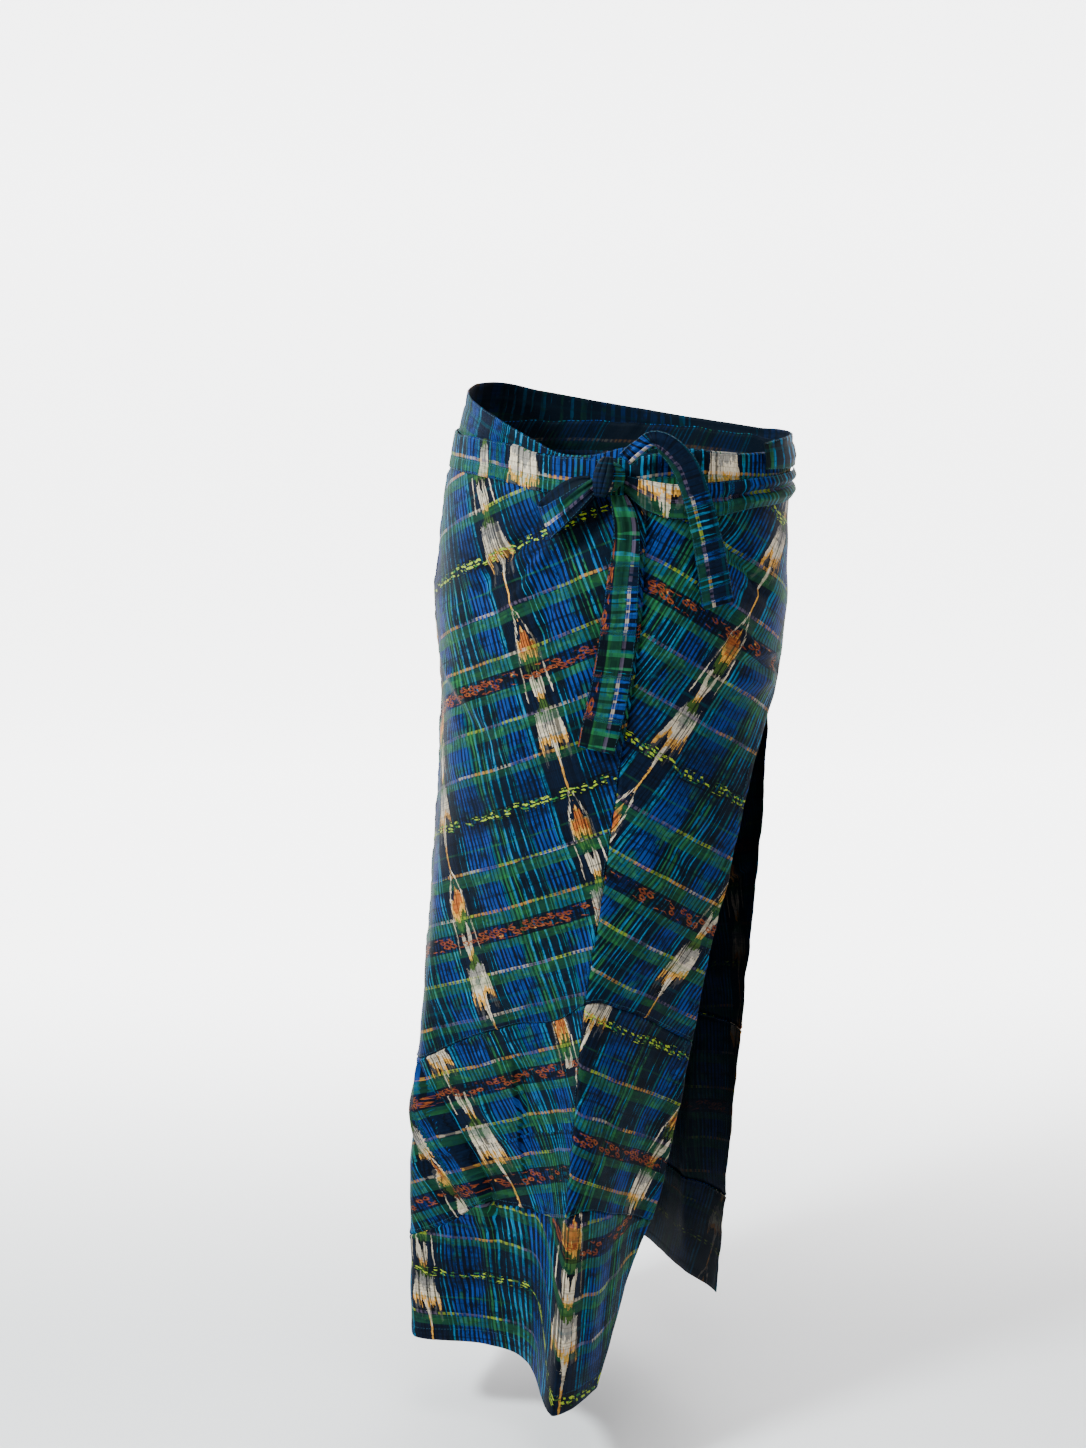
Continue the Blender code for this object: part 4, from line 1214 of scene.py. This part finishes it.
def makeRibbon(name):
    # rows are joined by smooth curves; a point = surface at the row's place, moved sideways within the width,
    # then lifted
    part = ribbons[name]
    table = np.array(part["rows"], float)
    place = np.concatenate([np.arange(len(table))[:, None], table], axis=1)
    coarse = np.linspace(0, len(table) - 1, 400)
    a, h, lift = through(place, coarse, 1), through(place, coarse, 2), through(place, coarse, 4)
    spine = surface(a, h) + outward(a, h) * lift[:, None]
    run = np.concatenate([[0], np.cumsum(np.linalg.norm(np.diff(spine, axis=0), axis=-1))])
    length = run[-1]
    marks = np.linspace(0, length, int(length / ribbonCut["step"]) + 1)
    marks = np.sort(np.concatenate([marks, [ribbonCut["endStep"], length - ribbonCut["endStep"]]]))
    at = np.interp(marks, run, coarse)
    angle, height, width, lift, tilt, crown = (through(place, at, k)[:, None] for k in range(1, 7))
    edge = ribbonCut["edge"]
    inner = np.linspace(-edge, edge, ribbonCut["across"])
    side = np.concatenate([[-0.5, -0.488], inner, [0.488, 0.5]])[None, :]
    share = (marks / length)[:, None]
    rounded = np.clip((np.abs(side) - edge) / (0.5 - edge), 0, 1)
    move = side * width
    lean = np.radians(tilt)
    angle = angle + np.degrees(move * np.cos(lean) / reach(angle, height))
    height = height + move * np.sin(lean)
    rise = ribbonRelief(part, side, share, length, crown, rounded, len(name))
    points = surface(angle, height) + outward(angle, height) * (lift + rise)[..., None]
    thick = np.broadcast_to(ribbonCut["thick"] * (1 - 0.6 * rounded), height.shape)
    clothRun, start, turned = part["cloth"]
    along = np.interp(share * length * 1000, *zip(*clothRun)) / 1000
    uv = np.stack([np.broadcast_to(along, height.shape), start + turned * move], -1)
    facing = np.cross(points[1, 5] - points[0, 5], points[0, 6] - points[0, 5])
    if np.dot(facing, outward(angle[0, 5], height[0, 5])) < 0:
        points, thick, uv = points[:, ::-1], thick[:, ::-1], uv[:, ::-1]
    normals = gridNormals(points)
    for j in (2, -3):
        sewn["ties"].append((points[:, j], normals[:, j]))
    obj = shell("cloth_" + name, points, thick, uv, name)


makeWaistband()
for name in ribbons:
    makeRibbon(name)

knot = {
    "angle": 283.5, "height": -0.005, "lift": 0.0098, "thick": 0.0012,
    # the body: half its width, height and depth
    "half": (0.0148, 0.0138, 0.0080),
    # the band over it: half width, overhang, half height
    "wrapHalf": 0.0078, "wrapOut": 0.0018, "wrapTall": 0.0165,
    # the two pieces: cloth coordinates of their first corner, flat size
    "cloth": [(0.115, 0.013), (0.108, 0.016)],
    "flats": [(0.046, 0.034), (0.052, 0.018)],
}


def knotBody():
    # an ellipsoid creased by ridges that run round its middle and by two slanted grooves
    turn = np.linspace(0, 2 * np.pi, 57)
    tip = np.linspace(0.02, np.pi - 0.02, 29)[:, None]
    x, y, z = np.sin(tip) * np.cos(turn), np.sin(tip) * np.sin(turn), np.cos(tip) + 0 * turn
    crease = 1 + 0.05 * np.sin(7 * turn + 2.2 * z) * np.sin(tip)
    crease = crease - 0.10 * np.exp(-(((x + 0.55 * z - 0.3) / 0.16) ** 2))
    crease = crease - 0.08 * np.exp(-(((x - 0.3 * z + 0.45) / 0.12) ** 2))
    half = knot["half"]
    return [x * crease * half[0] * 0.93, z * crease * half[1] * 0.95, y * crease * half[2] * 0.9]


def knotBand():
    # an upright strip that bends over the body like an arch, narrower at its ends, with two folds along it
    t = np.linspace(-1.15, 1.15, 41)[:, None]
    s = np.linspace(-1, 1, 19)[None, :]
    aside = -0.0035 + s * knot["wrapHalf"] * (0.75 + 0.25 * np.cos(2.4 * t)) + 0.0025 * t
    up = np.sin(t * 1.15) * knot["wrapTall"] + 0 * s
    arch = knot["half"][2] * (0.35 + 0.78 * np.cos(np.clip(t * 1.2, -1.5, 1.5)))
    out = arch + knot["wrapOut"] * np.sqrt(np.clip(1 - (s * 0.97) ** 2, 0, 1)) * 2.2
    out = out - 0.0013 * np.exp(-(((s - 0.25 - 0.2 * t) / 0.13) ** 2))
    out = out - 0.0010 * np.exp(-(((s + 0.4 - 0.1 * t) / 0.12) ** 2))
    return [aside, up, out]


def knotCloth(points, u0, v0):
    # cloth coordinates = mean lengths along the grid's columns and rows
    down1 = np.linalg.norm(np.diff(points, axis=0), axis=-1).mean(1)
    across1 = np.linalg.norm(np.diff(points, axis=1), axis=-1).mean(0)
    v = np.concatenate([[0], np.cumsum(down1)])[:, None]
    u = np.concatenate([[0], np.cumsum(across1)])[None, :]
    return np.stack([u0 + v + 0 * u, v0 + u + 0 * v], -1)


def makeKnot():
    # both parts stand on the waistband, in the directions aside, up and out there
    angle, height = np.array(knot["angle"]), np.array(knot["height"])
    out = outward(angle, height)
    up = np.array([0.0, 0.0, 1.0]) - out * out[2]
    up = up / np.linalg.norm(up)
    aside = np.cross(up, out)
    middle = surface(angle, height) + out * knot["lift"]
    for k, parts in enumerate((knotBody(), knotBand())):
        points = middle + sum(part[..., None] * way for part, way in zip(parts, (aside, up, out)))
        points = points[:, ::-1] if k == 0 else points
        thick = np.full(points.shape[:2], knot["thick"])
        uv = knotCloth(points, *knot["cloth"][k])
        obj = shell("cloth_knot" + str(k), points, thick, uv, "bow_knot")


makeKnot()
print("ties and bow ready")

thread = {
    "pitch": 0.0031, "uneven": 0.0003, "long": 0.0022, "thick": 0.00019, "sides": 6,
    "color": (0.004, 0.030, 0.060, 1), "pale": (0.010, 0.075, 0.110, 1), "roughness": 0.55, "specular": 0.2,
    # each ring of a stitch: place along it, radius, height over the cloth
    "rings": np.array([(-0.5, 0.35, -0.5), (-0.36, 1.0, 0.35), (0.36, 1.0, 0.35), (0.5, 0.35, -0.5)]),
}


def threadMaterial():
    # dull twisted thread, each stitch a little lighter or darker than the next
    material = bpy.data.materials.new("thread")
    material.use_nodes = True
    inUse["tree"] = material.node_tree
    shader = material.node_tree.nodes["Principled BSDF"]
    tone = noise(add("TexCoord").outputs["Object"], 260.0)
    feed(shader.inputs["Base Color"], mix(tone, thread["color"], thread["pale"]))
    shader.inputs["Roughness"].default_value = thread["roughness"]
    shader.inputs["Specular IOR Level"].default_value = thread["specular"]
    return material


def stitchPlaces(lines):
    # middles, directions and normals of all stitches, evenly spaced along each line with a small jolt
    places3 = []
    for points, normals in lines:
        run = np.concatenate([[0], np.cumsum(np.linalg.norm(np.diff(points, axis=0), axis=-1))])
        marks = np.arange(thread["pitch"], run[-1] - thread["pitch"], thread["pitch"])
        marks = marks + thread["uneven"] * np.sin(marks * 977.0)
        middle = np.stack([np.interp(marks, run, points[:, k]) for k in range(3)], -1)
        ahead = np.stack([np.interp(marks + 0.001, run, points[:, k]) for k in range(3)], -1)
        out = np.stack([np.interp(marks, run, normals[:, k]) for k in range(3)], -1)
        places3.append((middle, ahead - middle, out))
    return (np.concatenate(parts) for parts in zip(*places3))


def makeStitches(name, lines, material):
    # every stitch is a small capsule: four rings round its length, its ends dip into the cloth
    middle, way, out = stitchPlaces(lines)
    way = way / np.maximum(np.linalg.norm(way, axis=-1, keepdims=True), 1e-9)
    aside = np.cross(way, out)
    aside = aside / np.maximum(np.linalg.norm(aside, axis=-1, keepdims=True), 1e-9)
    out = np.cross(aside, way)
    n = thread["sides"]
    turn = (np.arange(n) * 2 * np.pi / n)[None, None, :, None]
    rings = thread["rings"] * (thread["long"], thread["thick"], thread["thick"])
    along, fat, dip = rings.T[:, None, :, None, None]
    ring = aside[:, None, None] * np.cos(turn) + out[:, None, None] * np.sin(turn)
    points = middle[:, None, None] + way[:, None, None] * along + ring * fat + out[:, None, None] * dip
    base = (np.arange(len(middle)) * 4 * n)[:, None, None]
    k = np.arange(n)
    quads = np.stack([k, (k + 1) % n, (k + 1) % n + n, k + n], -1)
    bands = (base + np.concatenate([quads + r * n for r in range(3)])).reshape(-1, 4)
    first = base[:, 0] + k[::-1]
    last = base[:, 0] + 3 * n + k
    obj = addPiece(name, points.reshape(-1, 3), bands.tolist() + first.tolist() + last.tolist())
    obj.data.materials.append(material)
    print(name, len(middle), "stitches")


threadLook = threadMaterial()
makeStitches("stitches_cloth", sewn["cloth"], threadLook)
makeStitches("stitches_ties", sewn["ties"], threadLook)
